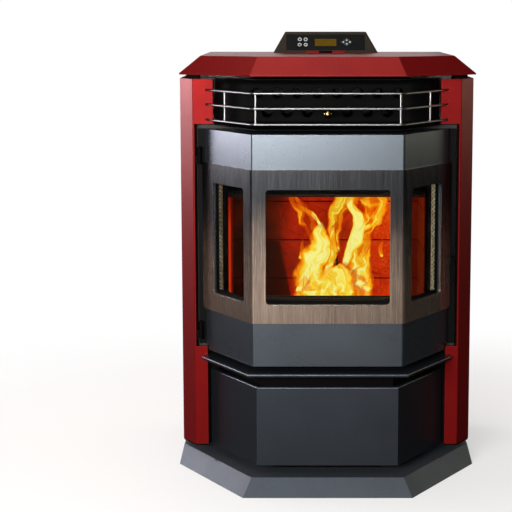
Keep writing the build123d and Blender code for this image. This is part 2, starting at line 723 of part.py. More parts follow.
def make_chassis_sides():
    """Inner side plates with a front flange and lugs that carry the side panels."""
    line = [(FRAME_HALF - SIDE_FLANGE, FRAME_BACK), (SIDE_HALF, FRAME_BACK), (SIDE_HALF, REAR_FRONT)]
    side = sheet(line, SIDE_WALL, BASE_PAN_TOP, DECK_HIGH - DECK_WALL)
    for y in LUG_DEPTHS:
        for z in LUG_HEIGHTS:
            side = side + block(SIDE_HALF, BODY_HALF - PANEL_WALL, y, y + LUG_LENGTH, z, z + LUG_WALL)
    return [side, mirrored(side)]


def make_lower_front_frame():
    """Front plate round the drawer opening, with the apron that hangs under the shelf."""
    low = BASE_PAN_TOP
    frame = block(-FRAME_HALF, FRAME_HALF, FRAME_FRONT, FRAME_BACK, low, FIREBOX_LOW)
    half = TRAY_HALF + DRAWER_MARGIN
    opening = block(-half, half, FRAME_FRONT - THROUGH, FRAME_BACK + THROUGH, low - THROUGH, APRON_LOW)
    apron = sheet(bay_to_depth(APRON_INSET, FRAME_FRONT), TRAY_WALL, APRON_LOW, SHELF_LOW)
    return frame - opening + apron


def make_top_deck():
    """Sheet that carries the edge of the top cover, cut out for the hopper."""
    low = DECK_HIGH - DECK_WALL
    plan = make_face(Polyline(*cover_outline(), close=True))
    rim = offset(plan, amount=-COVER_WALL / 2, kind=Kind.INTERSECTION)
    under_cover = Pos(0, 0, low) * extrude(rim, amount=DECK_WALL, dir=(0, 0, 1))
    front = FRAME_FRONT + PANEL_WALL
    big = 2 * COVER_BACK
    half = STRIP_TOP - DECK_MARGIN
    bay = bay_to_reach(DUCT_LIP, half)
    nose = prism([(-half, front)] + bay + [(half, front)], low, DECK_HIGH)
    deck = (under_cover & block(-big, big, front, big, low, DECK_HIGH)) + nose
    opening = block(-HOPPER_HALF - FIT, HOPPER_HALF + FIT, HOPPER_FRONT - FIT, HOPPER_BACK + FIT,
                    low - THROUGH, DECK_HIGH + THROUGH)
    return deck - opening


def vent_group(x, low):
    """Cutters for one group of vent slots in the rear panel."""
    half = VENT_LENGTH / 2
    heights = [low + row * VENT_PITCH for row in range(VENT_COUNT)]
    return [block(x - half, x + half, REAR_FRONT - THROUGH, BODY_BACK + THROUGH, z, z + VENT_HEIGHT)
            for z in heights]


def rear_hole(x, z, half, half_height):
    """Cutter for a rectangular hole in the rear panel."""
    return block(x - half, x + half, REAR_FRONT - THROUGH, BODY_BACK + THROUGH,
                 z - half_height, z + half_height)


def make_rear_panel():
    """Back plate with vents and holes for the pipes and the power inlet."""
    half = SIDE_HALF - FIT
    panel = block(-half, half, REAR_FRONT, BODY_BACK, BASE_PAN_TOP, DECK_HIGH - DECK_WALL)
    start = REAR_FRONT - THROUGH
    length = REAR_WALL + 2 * THROUGH
    cutters = [bar((EXHAUST_X, start, EXHAUST_Z), (0, 1, 0), length, FLUE_NECK + FIT),
               bar((INTAKE_X, start, INTAKE_Z), (0, 1, 0), length, INTAKE_NECK + FIT),
               rear_hole(INLET_X, INLET_Z, INLET_HALF + FIT, INLET_HALF_HEIGHT + FIT),
               rear_hole(INLET_X, SWITCH_Z, SWITCH_HALF + FIT, SWITCH_HALF_HEIGHT + FIT)]
    cutters += vent_group(ROOM_FAN_X + ROOM_FAN_WIDTH / 2, VENT_LOW_Z)
    for side in (-1, 1):
        cutters += vent_group(side * VENT_HIGH_X, VENT_HIGH_Z)
    return cut(panel, cutters)


# ---------------------------------------------------------------- top cover and lid
def cover_outline():
    """Plan of the lower edge of the top cover."""
    right = [(COVER_HALF, COVER_FRONT), (COVER_SIDE_HALF, COVER_SIDE_FRONT), (COVER_BACK_HALF, COVER_BACK)]
    return [(-x, y) for x, y in right[::-1]] + right


def cover_form(outline, rise):
    """Band and bevelled top of the cover on a plan outline."""
    slope = degrees(atan(COVER_BEVEL / (COVER_HIGH - COVER_LOW - COVER_EDGE)))
    band = Pos(0, 0, COVER_LOW) * extrude(outline, amount=COVER_EDGE, dir=(0, 0, 1))
    return band + Pos(0, 0, COVER_LOW + COVER_EDGE) * extrude(outline, amount=rise, taper=slope)


def make_top_cover():
    """Bevelled shell with the hopper opening, its ledge and the finger scoop."""
    outline = make_face(Polyline(*cover_outline(), close=True))
    rise = COVER_HIGH - COVER_LOW - COVER_EDGE
    solid = cover_form(outline, rise)
    ridges = [edge for edge in solid.edges()
              if edge.bounding_box().size.Z > rise - 1 or edge.center().Z > COVER_HIGH - 0.1]
    inside = offset(outline, amount=-COVER_WALL, kind=Kind.INTERSECTION)
    cover = fillet(ridges, COVER_SOFT) - cover_form(inside, rise - COVER_WALL)
    cover = cover - lid_tile(LID_GAP, COVER_HIGH - LEDGE_WIDTH, COVER_HIGH + THROUGH)
    seat = COVER_HIGH - LID_WALL - EPS
    ledge = lid_tile(LID_GAP + COVER_WALL, seat - COVER_WALL, COVER_HIGH - COVER_WALL)
    ledge = ledge - lid_tile(LID_GAP, seat, COVER_HIGH)
    cover = cover + (ledge - lid_tile(-LEDGE_WIDTH, COVER_HIGH - 2 * LEDGE_WIDTH, COVER_HIGH))
    front = LID_FRONT - LID_GAP - SCOOP_DEPTH
    bottom = COVER_HIGH - 3 * COVER_WALL
    scoop = block(-SCOOP_HALF, SCOOP_HALF, front, LID_FRONT, bottom, COVER_HIGH + THROUGH)
    half = SCOOP_HALF + COVER_WALL
    tray = block(-half, half, front - COVER_WALL, LID_FRONT - LID_GAP - COVER_WALL, bottom - COVER_WALL,
                 COVER_HIGH - COVER_WALL)
    return cover + (tray - scoop) - scoop


def lid_tile(grow, z0, z1):
    """Rounded rectangle of the hopper lid, grown by an amount."""
    radius = max(LID_ROUND + grow, 0.5)
    shape = RectangleRounded(2 * (LID_HALF + grow), LID_BACK - LID_FRONT + 2 * grow, radius)
    return Pos(0, (LID_FRONT + LID_BACK) / 2, z0) * extrude(shape, amount=z1 - z0)


def lid_knuckle(x0, x1, leaf_from, leaf_to):
    """One knuckle of the lid hinge with the leaf that carries it."""
    start = (x0, LID_AXIS_Y, LID_AXIS_Z)
    low = LID_AXIS_Z - LID_KNUCKLE_RADIUS
    leaf = block(x0, x1, leaf_from, leaf_to, low, LID_AXIS_Z - LID_PIN_RADIUS - WELD)
    return bar(start, (1, 0, 0), x1 - x0, LID_KNUCKLE_RADIUS) + leaf


def make_hopper_lid():
    """Lid plate with its two hinge knuckles."""
    lid = lid_tile(0, COVER_HIGH - LID_WALL, COVER_HIGH)
    inner = LID_BARREL / 6 + EPS
    outer = LID_BARREL / 2
    front = LID_BACK - LID_LEAF
    low = LID_AXIS_Z - LID_KNUCKLE_RADIUS
    for x0, x1 in ((-outer, -inner), (inner, outer)):
        lid = lid + lid_knuckle(x0, x1, front, LID_AXIS_Y)
        lid = lid + block(x0, x1, front, LID_BACK, COVER_HIGH - THROUGH, low + WELD)
    start = (-LID_BARREL, LID_AXIS_Y, LID_AXIS_Z)
    return lid - bar(start, (1, 0, 0), 2 * LID_BARREL, LID_PIN_RADIUS + RUNNING)


def make_lid_bracket():
    """Fixed middle knuckle of the lid hinge with its leaf on the cover and its pin."""
    half = LID_BARREL / 6
    back = CONSOLE_FRONT - EPS
    knuckle = lid_knuckle(-half, half, LID_AXIS_Y, back)
    low = LID_AXIS_Z - LID_KNUCKLE_RADIUS
    foot = block(-half, half, LID_AXIS_Y + THROUGH, back, COVER_HIGH, low + WELD)
    pin = bar((-LID_BARREL / 2, LID_AXIS_Y, LID_AXIS_Z), (1, 0, 0), LID_BARREL, LID_PIN_RADIUS)
    return knuckle + foot + pin


# ---------------------------------------------------------------- door
def make_door_shell():
    """Three-faced hollow door: front sheet, top and bottom plates, back flange."""
    line = bay_to_reach(0, DOOR_FACET_END)
    line = [(-DOOR_FACET_END, DOOR_BACK)] + line + [(DOOR_FACET_END, DOOR_BACK)]
    front = sheet(line, DOOR_WALL, DOOR_LOW, DOOR_HIGH)
    plan = prism(line, DOOR_LOW, DOOR_HIGH)
    inside = prism(line, DOOR_LOW + DOOR_WALL, DOOR_HIGH - DOOR_WALL)
    y0 = DOOR_BACK - DOOR_WALL
    flange = block(-DOOR_HALF, DOOR_HALF, y0, DOOR_BACK, DOOR_LOW, DOOR_HIGH)
    inner = SEAL_HALF - SEAL_WIDTH
    flange = flange - block(-inner, inner, y0 - THROUGH, DOOR_BACK + THROUGH, SEAL_LOW - SEAL_WIDTH,
                            SEAL_HIGH + SEAL_WIDTH)
    door = front + (plan - inside) + flange
    door = cut(door, window_cutters(0, 4 * DOOR_WALL))
    corner = block(DOOR_CORNER_HALF, DOOR_HALF + THROUGH, DOOR_CORNER_FRONT, DOOR_BACK + THROUGH,
                   DOOR_LOW - THROUGH, NOTCH_LOW + DOOR_WALL)
    door = cut(door, [corner, mirrored(corner)])
    return fillet(bend_edges(door, 0), DOOR_BEND)


def wing_corners(wing, z):
    """Outer corner edges of the plate's wing at a height."""
    tip = BAY_HALF + PLATE_REACH * cos(radians(BAY_ANGLE))
    return [edge for edge in wing.edges()
            if abs(edge.length - PLATE_WALL) < 0.01 and abs(edge.center().Z - z) < 0.1
            and abs(edge.center().X - tip) < 2 * PLATE_WALL]


def make_trim_plate():
    """Brushed steel plate folded over the three faces, with the window openings."""
    half = bay_half(0)
    plate = tile(front_plane(-PLATE_WALL), -half, half, PLATE_LOW, PLATE_HIGH, PLATE_WALL)
    wing = tile(facet_plane(-PLATE_WALL), 0, PLATE_REACH, PLATE_LOW, PLATE_HIGH, PLATE_WALL)
    wing = fillet(wing_corners(wing, PLATE_LOW), PLATE_ROUND_LOW)
    wing = fillet(wing_corners(wing, PLATE_HIGH), PLATE_ROUND_HIGH)
    outside = bay_to_reach(-PLATE_WALL, bay_half(-PLATE_WALL) + PLATE_WALL)
    bend = sheet(outside, PLATE_WALL, PLATE_LOW, PLATE_HIGH)
    plate = plate + bend + wing + mirrored(wing)
    plate = cut(plate, window_cutters(0, 4 * PLATE_WALL))
    return fillet(bend_edges(plate, -PLATE_WALL), PLATE_BEND)


def make_glass():
    """Middle and side panes behind the spacer frames."""
    z0 = WINDOW_LOW - GLASS_LAP
    z1 = WINDOW_HIGH + GLASS_LAP
    half = WINDOW_HALF + GLASS_LAP
    middle = tile(front_plane(GLASS_FRONT), -half, half, z0, z1, GLASS_WALL)
    side = tile(facet_plane(GLASS_FRONT), SIDE_WINDOW_START - GLASS_LAP, side_glass_end(), z0, z1, GLASS_WALL)
    return [middle, side, mirrored(side)]


def side_glass_end():
    """Outer end of a side pane along its face, where it meets the rope seal."""
    return SIDE_WINDOW_END + ROPE_LEAD - ROPE_RADIUS - EPS


def make_glass_frames():
    """Spacer frames between the shell and the panes, with a lower rail that shows."""
    z0 = WINDOW_LOW - GLASS_LAP
    z1 = WINDOW_HIGH + GLASS_LAP
    show = WINDOW_LOW + FRAME_SHOW
    half = WINDOW_HALF + GLASS_LAP
    deep = 4 * FRAME_WALL
    middle = tile(front_plane(DOOR_WALL), -half, half, z0, z1, FRAME_WALL)
    middle = middle - tile(front_plane(0), -WINDOW_HALF, WINDOW_HALF, show, WINDOW_HIGH, deep, WINDOW_ROUND)
    end = side_glass_end()
    side = tile(facet_plane(DOOR_WALL), SIDE_WINDOW_START - GLASS_LAP, end, z0, z1, FRAME_WALL)
    side = side - tile(facet_plane(0), SIDE_WINDOW_START, end + THROUGH, show, WINDOW_HIGH, deep)
    return [middle, side, mirrored(side)]


def seal_tile(inset, grow, wall):
    """Rounded plate on the middle line of the door seal, grown by an amount."""
    half = SEAL_HALF + grow
    return tile(front_plane(inset), -half, half, SEAL_LOW - grow, SEAL_HIGH + grow, wall, SEAL_ROUND + grow)


def make_door_seals():
    """Rope rings: one on the back of the door, one upright rope beside each side pane."""
    wall = FRAME_FRONT - SEAL_GAP - DOOR_BACK
    half = SEAL_WIDTH / 2
    ring_seal = seal_tile(DOOR_BACK, half, wall) - seal_tile(DOOR_BACK - THROUGH, -half, wall + 2 * THROUGH)
    lean = facet_plane(DOOR_WALL + ROPE_RADIUS + EPS)
    foot = lean.from_local_coords((SIDE_WINDOW_END + ROPE_LEAD, WINDOW_LOW - GLASS_LAP, 0))
    rope = bar(tuple(foot), (0, 0, 1), WINDOW_HIGH - WINDOW_LOW + 2 * GLASS_LAP, ROPE_RADIUS)
    return [ring_seal, rope, mirrored(rope)]


def hinge_knuckle(z0, leaf):
    """One hinge knuckle with its leaf and a bore for the pin."""
    barrel = bar((-HINGE_X, HINGE_Y, z0), (0, 0, 1), KNUCKLE_LENGTH, KNUCKLE_RADIUS)
    start = (-HINGE_X, HINGE_Y, z0 - THROUGH)
    bore = bar(start, (0, 0, 1), KNUCKLE_LENGTH + 2 * THROUGH, HINGE_PIN_RADIUS + RUNNING)
    return (barrel + leaf) - bore


def make_door_knuckles():
    """Upper knuckle of each hinge, on the door flange."""
    shapes = []
    half = HINGE_LEAF / 2
    for height in HINGE_HEIGHTS:
        z0 = height + AXIAL
        leaf = block(-HINGE_X - half, -HINGE_X + half, HINGE_Y, DOOR_BACK - DOOR_WALL, z0, z0 + KNUCKLE_LENGTH)
        shapes.append(hinge_knuckle(z0, leaf))
    return shapes


def make_hinge_brackets():
    """Lower knuckle and pin of each hinge with the bracket on the firebox frame, and the strike."""
    shapes = []
    x0 = -STRIP_DOOR + THROUGH
    x1 = -DOOR_HALF - HINGE_LEAF / 2
    half = HINGE_ARM / 2
    for height in HINGE_HEIGHTS:
        z0 = height - KNUCKLE_LENGTH
        arm = block(x0, x1, HINGE_Y - half, FRAME_FRONT, z0, height)
        link = block(x1 - FIT, -HINGE_X, HINGE_Y - half, HINGE_Y + half, z0, height)
        foot = block(x0, -FRAME_HALF + HINGE_ARM, FRAME_FRONT - half, FRAME_FRONT, z0, height)
        pin = bar((-HINGE_X, HINGE_Y, z0), (0, 0, 1), 2 * KNUCKLE_LENGTH + AXIAL, HINGE_PIN_RADIUS)
        knuckle = bar((-HINGE_X, HINGE_Y, z0), (0, 0, 1), KNUCKLE_LENGTH, KNUCKLE_RADIUS)
        shapes.append(knuckle + arm + link + foot + pin)
    low = LATCH_Z + LATCH_WIDTH + EPS
    strike = block(FRAME_HALF, STRIP_DOOR - FIT, FRAME_FRONT - STRIKE_HEIGHT, FRAME_BACK - FIT,
                   low, low + STRIKE_HEIGHT)
    return shapes + [strike]


def make_latch():
    """Lever on the right edge of the door: handle, pivot boss and the finger that passes the flange."""
    x0 = LATCH_X - LATCH_WIDTH / 2
    x1 = LATCH_X + LATCH_WIDTH / 2
    front = LATCH_Y - LATCH_HALF
    back = LATCH_Y + LATCH_HALF
    tip = FRAME_HALF + LATCH_REACH
    low = LATCH_Z - LATCH_HALF
    handle = block(x0, x1, front, back, LATCH_Z - LATCH_HANDLE, LATCH_Z)
    boss = bar((x0, LATCH_Y, LATCH_Z), (1, 0, 0), LATCH_WIDTH, LATCH_BOSS_RADIUS)
    reach = block(x1 - THROUGH, tip, front, back, low, LATCH_Z + LATCH_HALF)
    finger = block(DOOR_HALF + LATCH_REACH, tip, front, FRAME_BACK - LATCH_HALF / 2, low, LATCH_Z + LATCH_WIDTH)
    start = (x0 - THROUGH, LATCH_Y, LATCH_Z)
    return (handle + boss + reach + finger) - bar(start, (1, 0, 0), 3 * LATCH_WIDTH, LATCH_PIN_RADIUS + RUNNING)


def make_latch_pivot():
    """Ear and pin on the door flange that carry the latch lever."""
    x1 = LATCH_X - LATCH_WIDTH / 2 - AXIAL
    ear = block(x1 - LATCH_EAR, x1, LATCH_Y - LATCH_HALF, DOOR_BACK - DOOR_WALL, LATCH_Z - LATCH_BOSS_RADIUS,
                LATCH_Z + LATCH_BOSS_RADIUS)
    length = 2 * LATCH_WIDTH
    pin = bar((x1 - THROUGH, LATCH_Y, LATCH_Z), (1, 0, 0), length, LATCH_PIN_RADIUS)
    return ear + pin


# ---------------------------------------------------------------- drawer and shelf
def make_drawer_front():
    """Three-faced drawer front with a rolled top edge and a lower return."""
    line = bay_to_depth(DRAWER_INSET, DRAWER_DEPTH)
    front = sheet(line, DRAWER_WALL, DRAWER_LOW, DRAWER_HIGH)
    top = prism(line + parallel(line, 3 * DRAWER_WALL)[::-1], DRAWER_HIGH - DRAWER_ROLL, DRAWER_HIGH)
    low = prism(line + parallel(line, 3 * DRAWER_WALL)[::-1], DRAWER_LOW, DRAWER_LOW + DRAWER_WALL)
    shape = front + top + low
    rims = [edge for edge in shape.edges()
            if edge.center().Z > DRAWER_HIGH - 0.1 and on_outer_line(edge, DRAWER_INSET)]
    return fillet(rims, DRAWER_ROLL - 0.6)


def on_outer_line(edge, inset):
    """Whether an edge lies on the bay line of an inset."""
    point = edge.center()
    half = bay_half(inset)
    if abs(point.X) <= half:
        return abs(point.Y - inset) < 0.05
    return abs(point.Y - inset - (abs(point.X) - half) * BAY_TAN) < 0.05


def make_drawer_tray():
    """Tray that joins the drawer front to the runners and carries the ash pan."""
    line = bay_to_reach(DRAWER_INSET + DRAWER_WALL, TRAY_HALF)
    tray = prism([(-TRAY_HALF, TRAY_BACK)] + line + [(TRAY_HALF, TRAY_BACK)], TRAY_LOW, TRAY_FLOOR)
    top = TRAY_LOW + TRAY_SIDE
    side = block(TRAY_HALF - TRAY_WALL, TRAY_HALF, line[3][1] + 2 * TRAY_WALL, TRAY_BACK, TRAY_LOW, top)
    rail = block(TRAY_HALF, TRAY_HALF + RAIL_WIDTH, FRAME_BACK + RAIL_SETBACK, TRAY_BACK,
                 TRAY_LOW + RAIL_RISE, TRAY_LOW + RAIL_RISE + RAIL_WALL)
    back = block(-TRAY_HALF, TRAY_HALF, TRAY_BACK - TRAY_WALL, TRAY_BACK, TRAY_LOW, TRAY_LOW + TRAY_SIDE / 2)
    return tray + back + side + rail + mirrored(side + rail)


def make_ash_pan():
    """Open pan that lifts out of the tray, with a folded rim."""
    back = TRAY_BACK - TRAY_WALL - PAN_PLAY
    body = block(-PAN_HALF, PAN_HALF, PAN_FRONT, back, TRAY_FLOOR, PAN_HIGH)
    half = PAN_HALF - TRAY_WALL
    hollow = block(-half, half, PAN_FRONT + TRAY_WALL, back - TRAY_WALL, TRAY_FLOOR + TRAY_WALL,
                   PAN_HIGH + THROUGH)
    half = PAN_HALF + PAN_RIM
    rim = block(-half, half, PAN_FRONT - PAN_RIM, back + PAN_RIM / 2, PAN_HIGH - TRAY_WALL, PAN_HIGH)
    return body + rim - hollow


def make_drawer_runners():
    """Fixed channels on the base pan that guide the rails of the tray."""
    low = TRAY_LOW + RAIL_RISE - EPS
    high = TRAY_LOW + RAIL_RISE + RAIL_WALL + EPS
    x0 = TRAY_HALF + EPS
    x1 = x0 + RAIL_WIDTH
    y0 = FRAME_BACK + RAIL_SETBACK
    channel = block(x0, x1 + CHANNEL_WALL, y0, TRAY_BACK, low - CHANNEL_WALL, high + CHANNEL_WALL)
    channel = channel - block(x0 - THROUGH, x1, y0 - THROUGH, TRAY_BACK + THROUGH, low, high)
    runner = channel + block(x1, x1 + CHANNEL_WALL, y0, TRAY_BACK, BASE_PAN_TOP, low)
    return [runner, mirrored(runner)]


def make_hearth_shelf():
    """Ledge between the door and the drawer with rounded tips and edges."""
    inset = SHELF_INSET
    half = bay_half(inset)
    tip_y = inset + (SHELF_TIP - half) * BAY_TAN
    back = PANEL_FACE - SHELF_CLEAR
    waist = STRIP_LOW - SHELF_CLEAR
    right = [(half, inset), (SHELF_TIP, tip_y), (SHELF_TIP, back), (waist, back), (waist, FRAME_FRONT)]
    left = [(-x, y) for x, y in right[::-1]]
    shelf = prism(left + right, SHELF_LOW, SHELF_HIGH)
    shelf = fillet(upright_at(shelf, [(-SHELF_TIP, tip_y), (SHELF_TIP, tip_y)]), SHELF_ROUND)
    middle = (SHELF_LOW + SHELF_HIGH) / 2
    rims = [edge for edge in shelf.edges() if on_outer_line(edge, inset) and edge.center().Y < tip_y
            and abs(edge.center().Z - middle) > THROUGH]
    return fillet(rims, SHELF_EDGE)


# ---------------------------------------------------------------- fire chamber
def make_firebox_frame():
    """Front plate of the firebox with the mouth that the door closes."""
    plate = block(-FRAME_HALF, FRAME_HALF, FRAME_FRONT, FRAME_BACK, FIREBOX_LOW, DUCT_LOW - DUCT_WALL)
    return plate - tile(front_plane(FRAME_FRONT - THROUGH), -MOUTH_HALF, MOUTH_HALF, MOUTH_LOW, MOUTH_HIGH,
                        FRAME_PLATE + 2 * THROUGH, FRAME_PLATE)


def make_firebox_body():
    """Welded box behind the frame, open at the front, with ash slots and ports in the back."""
    wall = FIREBOX_WALL
    half = FIREBOX_HALF
    body = block(-half, half, FRAME_BACK, FIREBOX_BACK, FIREBOX_LOW, FIREBOX_HIGH)
    body = body - block(wall - half, half - wall, FRAME_BACK - THROUGH, FIREBOX_BACK - wall,
                        FIREBOX_LOW + wall, FIREBOX_HIGH - wall)
    slot = block(SLOT_INNER, SLOT_OUTER, POT_FRONT - SLOT_MARGIN, POT_BACK + SLOT_MARGIN,
                 FIREBOX_LOW - THROUGH, FIREBOX_LOW + wall + THROUGH)
    y0 = FIREBOX_BACK - wall - THROUGH
    port_half = CHANNEL_HALF - PORT_INSET
    port = block(EXHAUST_X - port_half, EXHAUST_X + port_half, y0, FIREBOX_BACK + THROUGH, PORT_LOW, PORT_HIGH)
    neck = neck_form(-TUBE_WALL, FIREBOX_HIGH - wall - THROUGH, FIREBOX_HIGH + THROUGH)
    return cut(body, [slot, mirrored(slot), port, neck] + back_ports(y0, wall + 2 * THROUGH))


def back_ports(y0, length):
    """Cutters for the pipes that pass the back of the firebox."""
    return [bar((0, y0, AUGER_Z), (0, 1, 0), length, AUGER_TUBE_RADIUS + FIT),
            bar((INTAKE_X, y0, INTAKE_Z), (0, 1, 0), length, INTAKE_NECK + FIT),
            bar((-INTAKE_X, y0, INTAKE_Z), (0, 1, 0), length, IGNITER_RADIUS + FIT)]


def make_firebricks():
    """Back and side liners with moulded brick joints."""
    inner = FIREBOX_HALF - FIREBOX_WALL
    y1 = FIREBOX_BACK - FIREBOX_WALL
    y0 = y1 - BRICK_WALL
    low = FIREBOX_LOW + FIREBOX_WALL
    back = block(-inner, inner, y0, y1, low, BRICK_TOP)
    back = cut(back, back_ports(y0 - THROUGH, BRICK_WALL + 2 * THROUGH))
    face = inner - BRICK_WALL
    side = block(face, inner, FRAME_BACK + THROUGH, y0, low, BRICK_TOP)
    half = GROOVE / 2
    for row in range(-1, 3):
        z = BRICK_JOINT_Z + row * BRICK_COURSE
        back = back - block(-inner - THROUGH, inner + THROUGH, y0 - THROUGH, y0 + GROOVE, z - half, z + half)
        side = side - block(face - THROUGH, face + GROOVE, FRAME_BACK, y0 + THROUGH, z - half, z + half)
        top = min(z + BRICK_COURSE, BRICK_TOP + THROUGH)
        for step in range(-2, 2 + 1):
            x = (step + 0.5 * (row % 2)) * BRICK_LENGTH
            if abs(x) < inner - GROOVE:
                back = back - block(x - half, x + half, y0 - THROUGH, y0 + GROOVE, z, top)
    return [back, side, mirrored(side)]


def make_baffle():
    """Plate above the bricks that turns the flue gas to the front."""
    inner = FIREBOX_HALF - FIREBOX_WALL
    return block(-inner, inner, FRAME_BACK + BAFFLE_GAP, FIREBOX_BACK - FIREBOX_WALL, BRICK_TOP,
                 BRICK_TOP + BAFFLE_WALL)


def pot_block(grow, z0, z1):
    """Block on the plan of the burn pot, grown by an amount."""
    half = POT_HALF + grow
    return block(-half, half, POT_FRONT - grow, POT_BACK + grow, z0, z1)


def make_pot_support():
    """Box on the firebox floor that holds the burn pot over the air intake."""
    low = FIREBOX_LOW + FIREBOX_WALL
    high = POT_HIGH - POT_RIM
    box = pot_block(POT_RIM, low, high) - pot_block(POT_RIM - SUPPORT_WALL, low - THROUGH, high + THROUGH)
    return cut(box, back_ports(POT_BACK, 2 * POT_RIM))


def make_burn_pot():
    """Cast tub with a rim and rows of air holes."""
    low = POT_HIGH - POT_DEPTH
    rim = pot_block(POT_RIM, POT_HIGH - POT_RIM, POT_HIGH)
    pot = rim + pot_block(-FIT, low, POT_HIGH) - pot_block(-FIT - POT_WALL, low + POT_WALL, POT_HIGH + THROUGH)
    middle = (POT_FRONT + POT_BACK) / 2
    length = POT_WALL + 2 * THROUGH
    for column in (-2, -1, 0, 1, 2):
        x = column * POT_HOLE_PITCH
        for row in (-1, 0, 1):
            start = (x, middle + row * POT_ROW_PITCH, low - THROUGH)
            pot = pot - bar(start, (0, 0, 1), length, POT_HOLE_RADIUS)
        pot = pot - bar((x, POT_FRONT, low + POT_SIDE_HOLES), (0, 1, 0), length, POT_HOLE_RADIUS)
    start = (-INTAKE_X, POT_BACK - 2 * POT_WALL, INTAKE_Z)
    return pot - bar(start, (0, 1, 0), 4 * POT_WALL, IGNITER_RADIUS + FIT)


def make_igniter():
    """Ceramic heating rod that reaches the back of the burn pot."""
    length = FIREBOX_BACK + IGNITER_TAIL + IGNITER_IN - POT_BACK
    return bar((-INTAKE_X, POT_BACK - IGNITER_IN, INTAKE_Z), (0, 1, 0), length, IGNITER_RADIUS)


# ---------------------------------------------------------------- outlet and exchanger
def tube_places():
    """X and Z of every heat exchanger tube: the lower row leaves room for the scraper rod."""
    middle = (TUBE_COUNT - 1) / 2
    upper = [((step - middle) * TUBE_PITCH, TUBE_UPPER) for step in range(TUBE_COUNT)]
    lower = [(side * step * TUBE_PITCH, TUBE_LOWER) for step in range(1, TUBE_COUNT // 2) for side in (-1, 1)]
    return upper + lower


def exchanger_half():
    """Half width of the gas box."""
    return (TUBE_COUNT - 1) / 2 * TUBE_PITCH + TUBE_RADIUS + BOX_MARGIN


def neck_form(grow, z0, z1):
    """Block on the plan of the neck between the firebox and the gas box, grown by an amount."""
    half = exchanger_half() - NECK_INSET + grow
    front = FRAME_BACK + NECK_SETBACK - grow
    return block(-half, half, front, EXCHANGER_BACK + grow, z0, z1)


def duct_form(grow):
    """Solid that fills the outlet duct, grown by the wall."""
    back = DUCT_BACK + grow
    half = DUCT_HALF - grow * BEND_TAN
    far = -2 * DUCT_BACK
    reach = STRIP_TOP - DUCT_SIDE_GAP
    deep = back + (reach - half) * BAY_TAN
    points = [(-reach, far), (-reach, deep), (-half, back), (half, back), (reach, deep), (reach, far)]
    form = prism(points, DUCT_LOW - grow, DUCT_HIGH + grow)
    bends = [edge for edge in form.edges().filter_by(Axis.Z) if abs(edge.center().Y - back) < 0.1]
    form = fillet(bends, DUCT_ROUND - grow)
    middle = (DUCT_LOW + DUCT_HIGH) / 2
    half_height = (DUCT_HIGH - DUCT_LOW) / 2 + grow
    rims = [edge for edge in form.edges() if edge.center().Y > back - 0.1
            and abs(abs(edge.center().Z - middle) - half_height) < 0.1]
    return fillet(rims, DUCT_COVE + grow)


def make_outlet_duct():
    """Formed black duct behind the grille, open at the front, with holes for tubes and rod."""
    duct = duct_form(DUCT_WALL) - duct_form(0)
    reach = STRIP_TOP - DUCT_SIDE_GAP
    bay = bay_to_reach(DUCT_LIP, reach)
    deep = PANEL_FACE + 2 * PANEL_LIP
    margin = 2 * DUCT_WALL
    duct = duct & prism([(-reach, deep)] + bay + [(reach, deep)], DUCT_LOW - margin, DUCT_HIGH + margin)
    y0 = DUCT_BACK - TUBE_PROUD - THROUGH
    length = TUBE_PROUD + 4 * DUCT_WALL
    holes = [bar((x, y0, z), (0, 1, 0), length, TUBE_RADIUS + FIT) for x, z in tube_places()]
    return cut(duct, holes + [bar((0, y0, TUBE_LOWER), (0, 1, 0), length, SCRAPER_ROD_RADIUS + RUNNING)])


def make_exchanger_box():
    """Gas box above the firebox that the tubes pass through, open below to the firebox."""
    y0 = DUCT_BACK + DUCT_WALL
    half = exchanger_half()
    low = EXCHANGER_LOW
    high = DUCT_HIGH - DUCT_WALL
    wall = TUBE_WALL
    box = block(-half, half, y0, EXCHANGER_BACK, low, high) + neck_form(0, FIREBOX_HIGH, low + wall)
    hollow = block(wall - half, half - wall, y0 + wall, EXCHANGER_BACK - wall, low + wall, high - wall)
    passage = neck_form(-wall, FIREBOX_HIGH - THROUGH, low + 2 * wall)
    length = EXCHANGER_BACK - y0 + 2 * THROUGH
    holes = [bar((x, y0 - THROUGH, z), (0, 1, 0), length, TUBE_RADIUS + RUNNING) for x, z in tube_places()]
    rod_hole = bar((0, y0 - THROUGH, TUBE_LOWER), (0, 1, 0), wall + 2 * THROUGH, SCRAPER_ROD_RADIUS + RUNNING)
    return cut(box, [hollow, passage, rod_hole] + holes)


def make_exchanger_tubes():
    """Tubes that carry the room air through the gas box."""
    y0 = DUCT_BACK - TUBE_PROUD
    length = EXCHANGER_BACK + TUBE_PROUD - y0
    bore = TUBE_RADIUS - TUBE_WALL
    return [ring((x, y0, z), (0, 1, 0), length, TUBE_RADIUS, bore) for x, z in tube_places()]


def make_scraper():
    """Scraper plate round the tubes on the rod that carries the knob."""
    y0 = EXCHANGER_BACK - TUBE_WALL - SCRAPER_REST
    half = exchanger_half() - TUBE_WALL - SCRAPER_PLAY
    reach = TUBE_RADIUS + SCRAPER_LAP
    plate = block(-half, half, y0, y0 + SCRAPER_WALL, TUBE_LOWER - reach, TUBE_UPPER + reach)
    length = SCRAPER_WALL + 2 * THROUGH
    holes = [bar((x, y0 - THROUGH, z), (0, 1, 0), length, TUBE_RADIUS + FIT) for x, z in tube_places()]
    rod = bar((0, KNOB_Y, TUBE_LOWER), (0, 1, 0), y0 - KNOB_Y + SCRAPER_WALL, SCRAPER_ROD_RADIUS)
    return cut(plate, holes) + rod


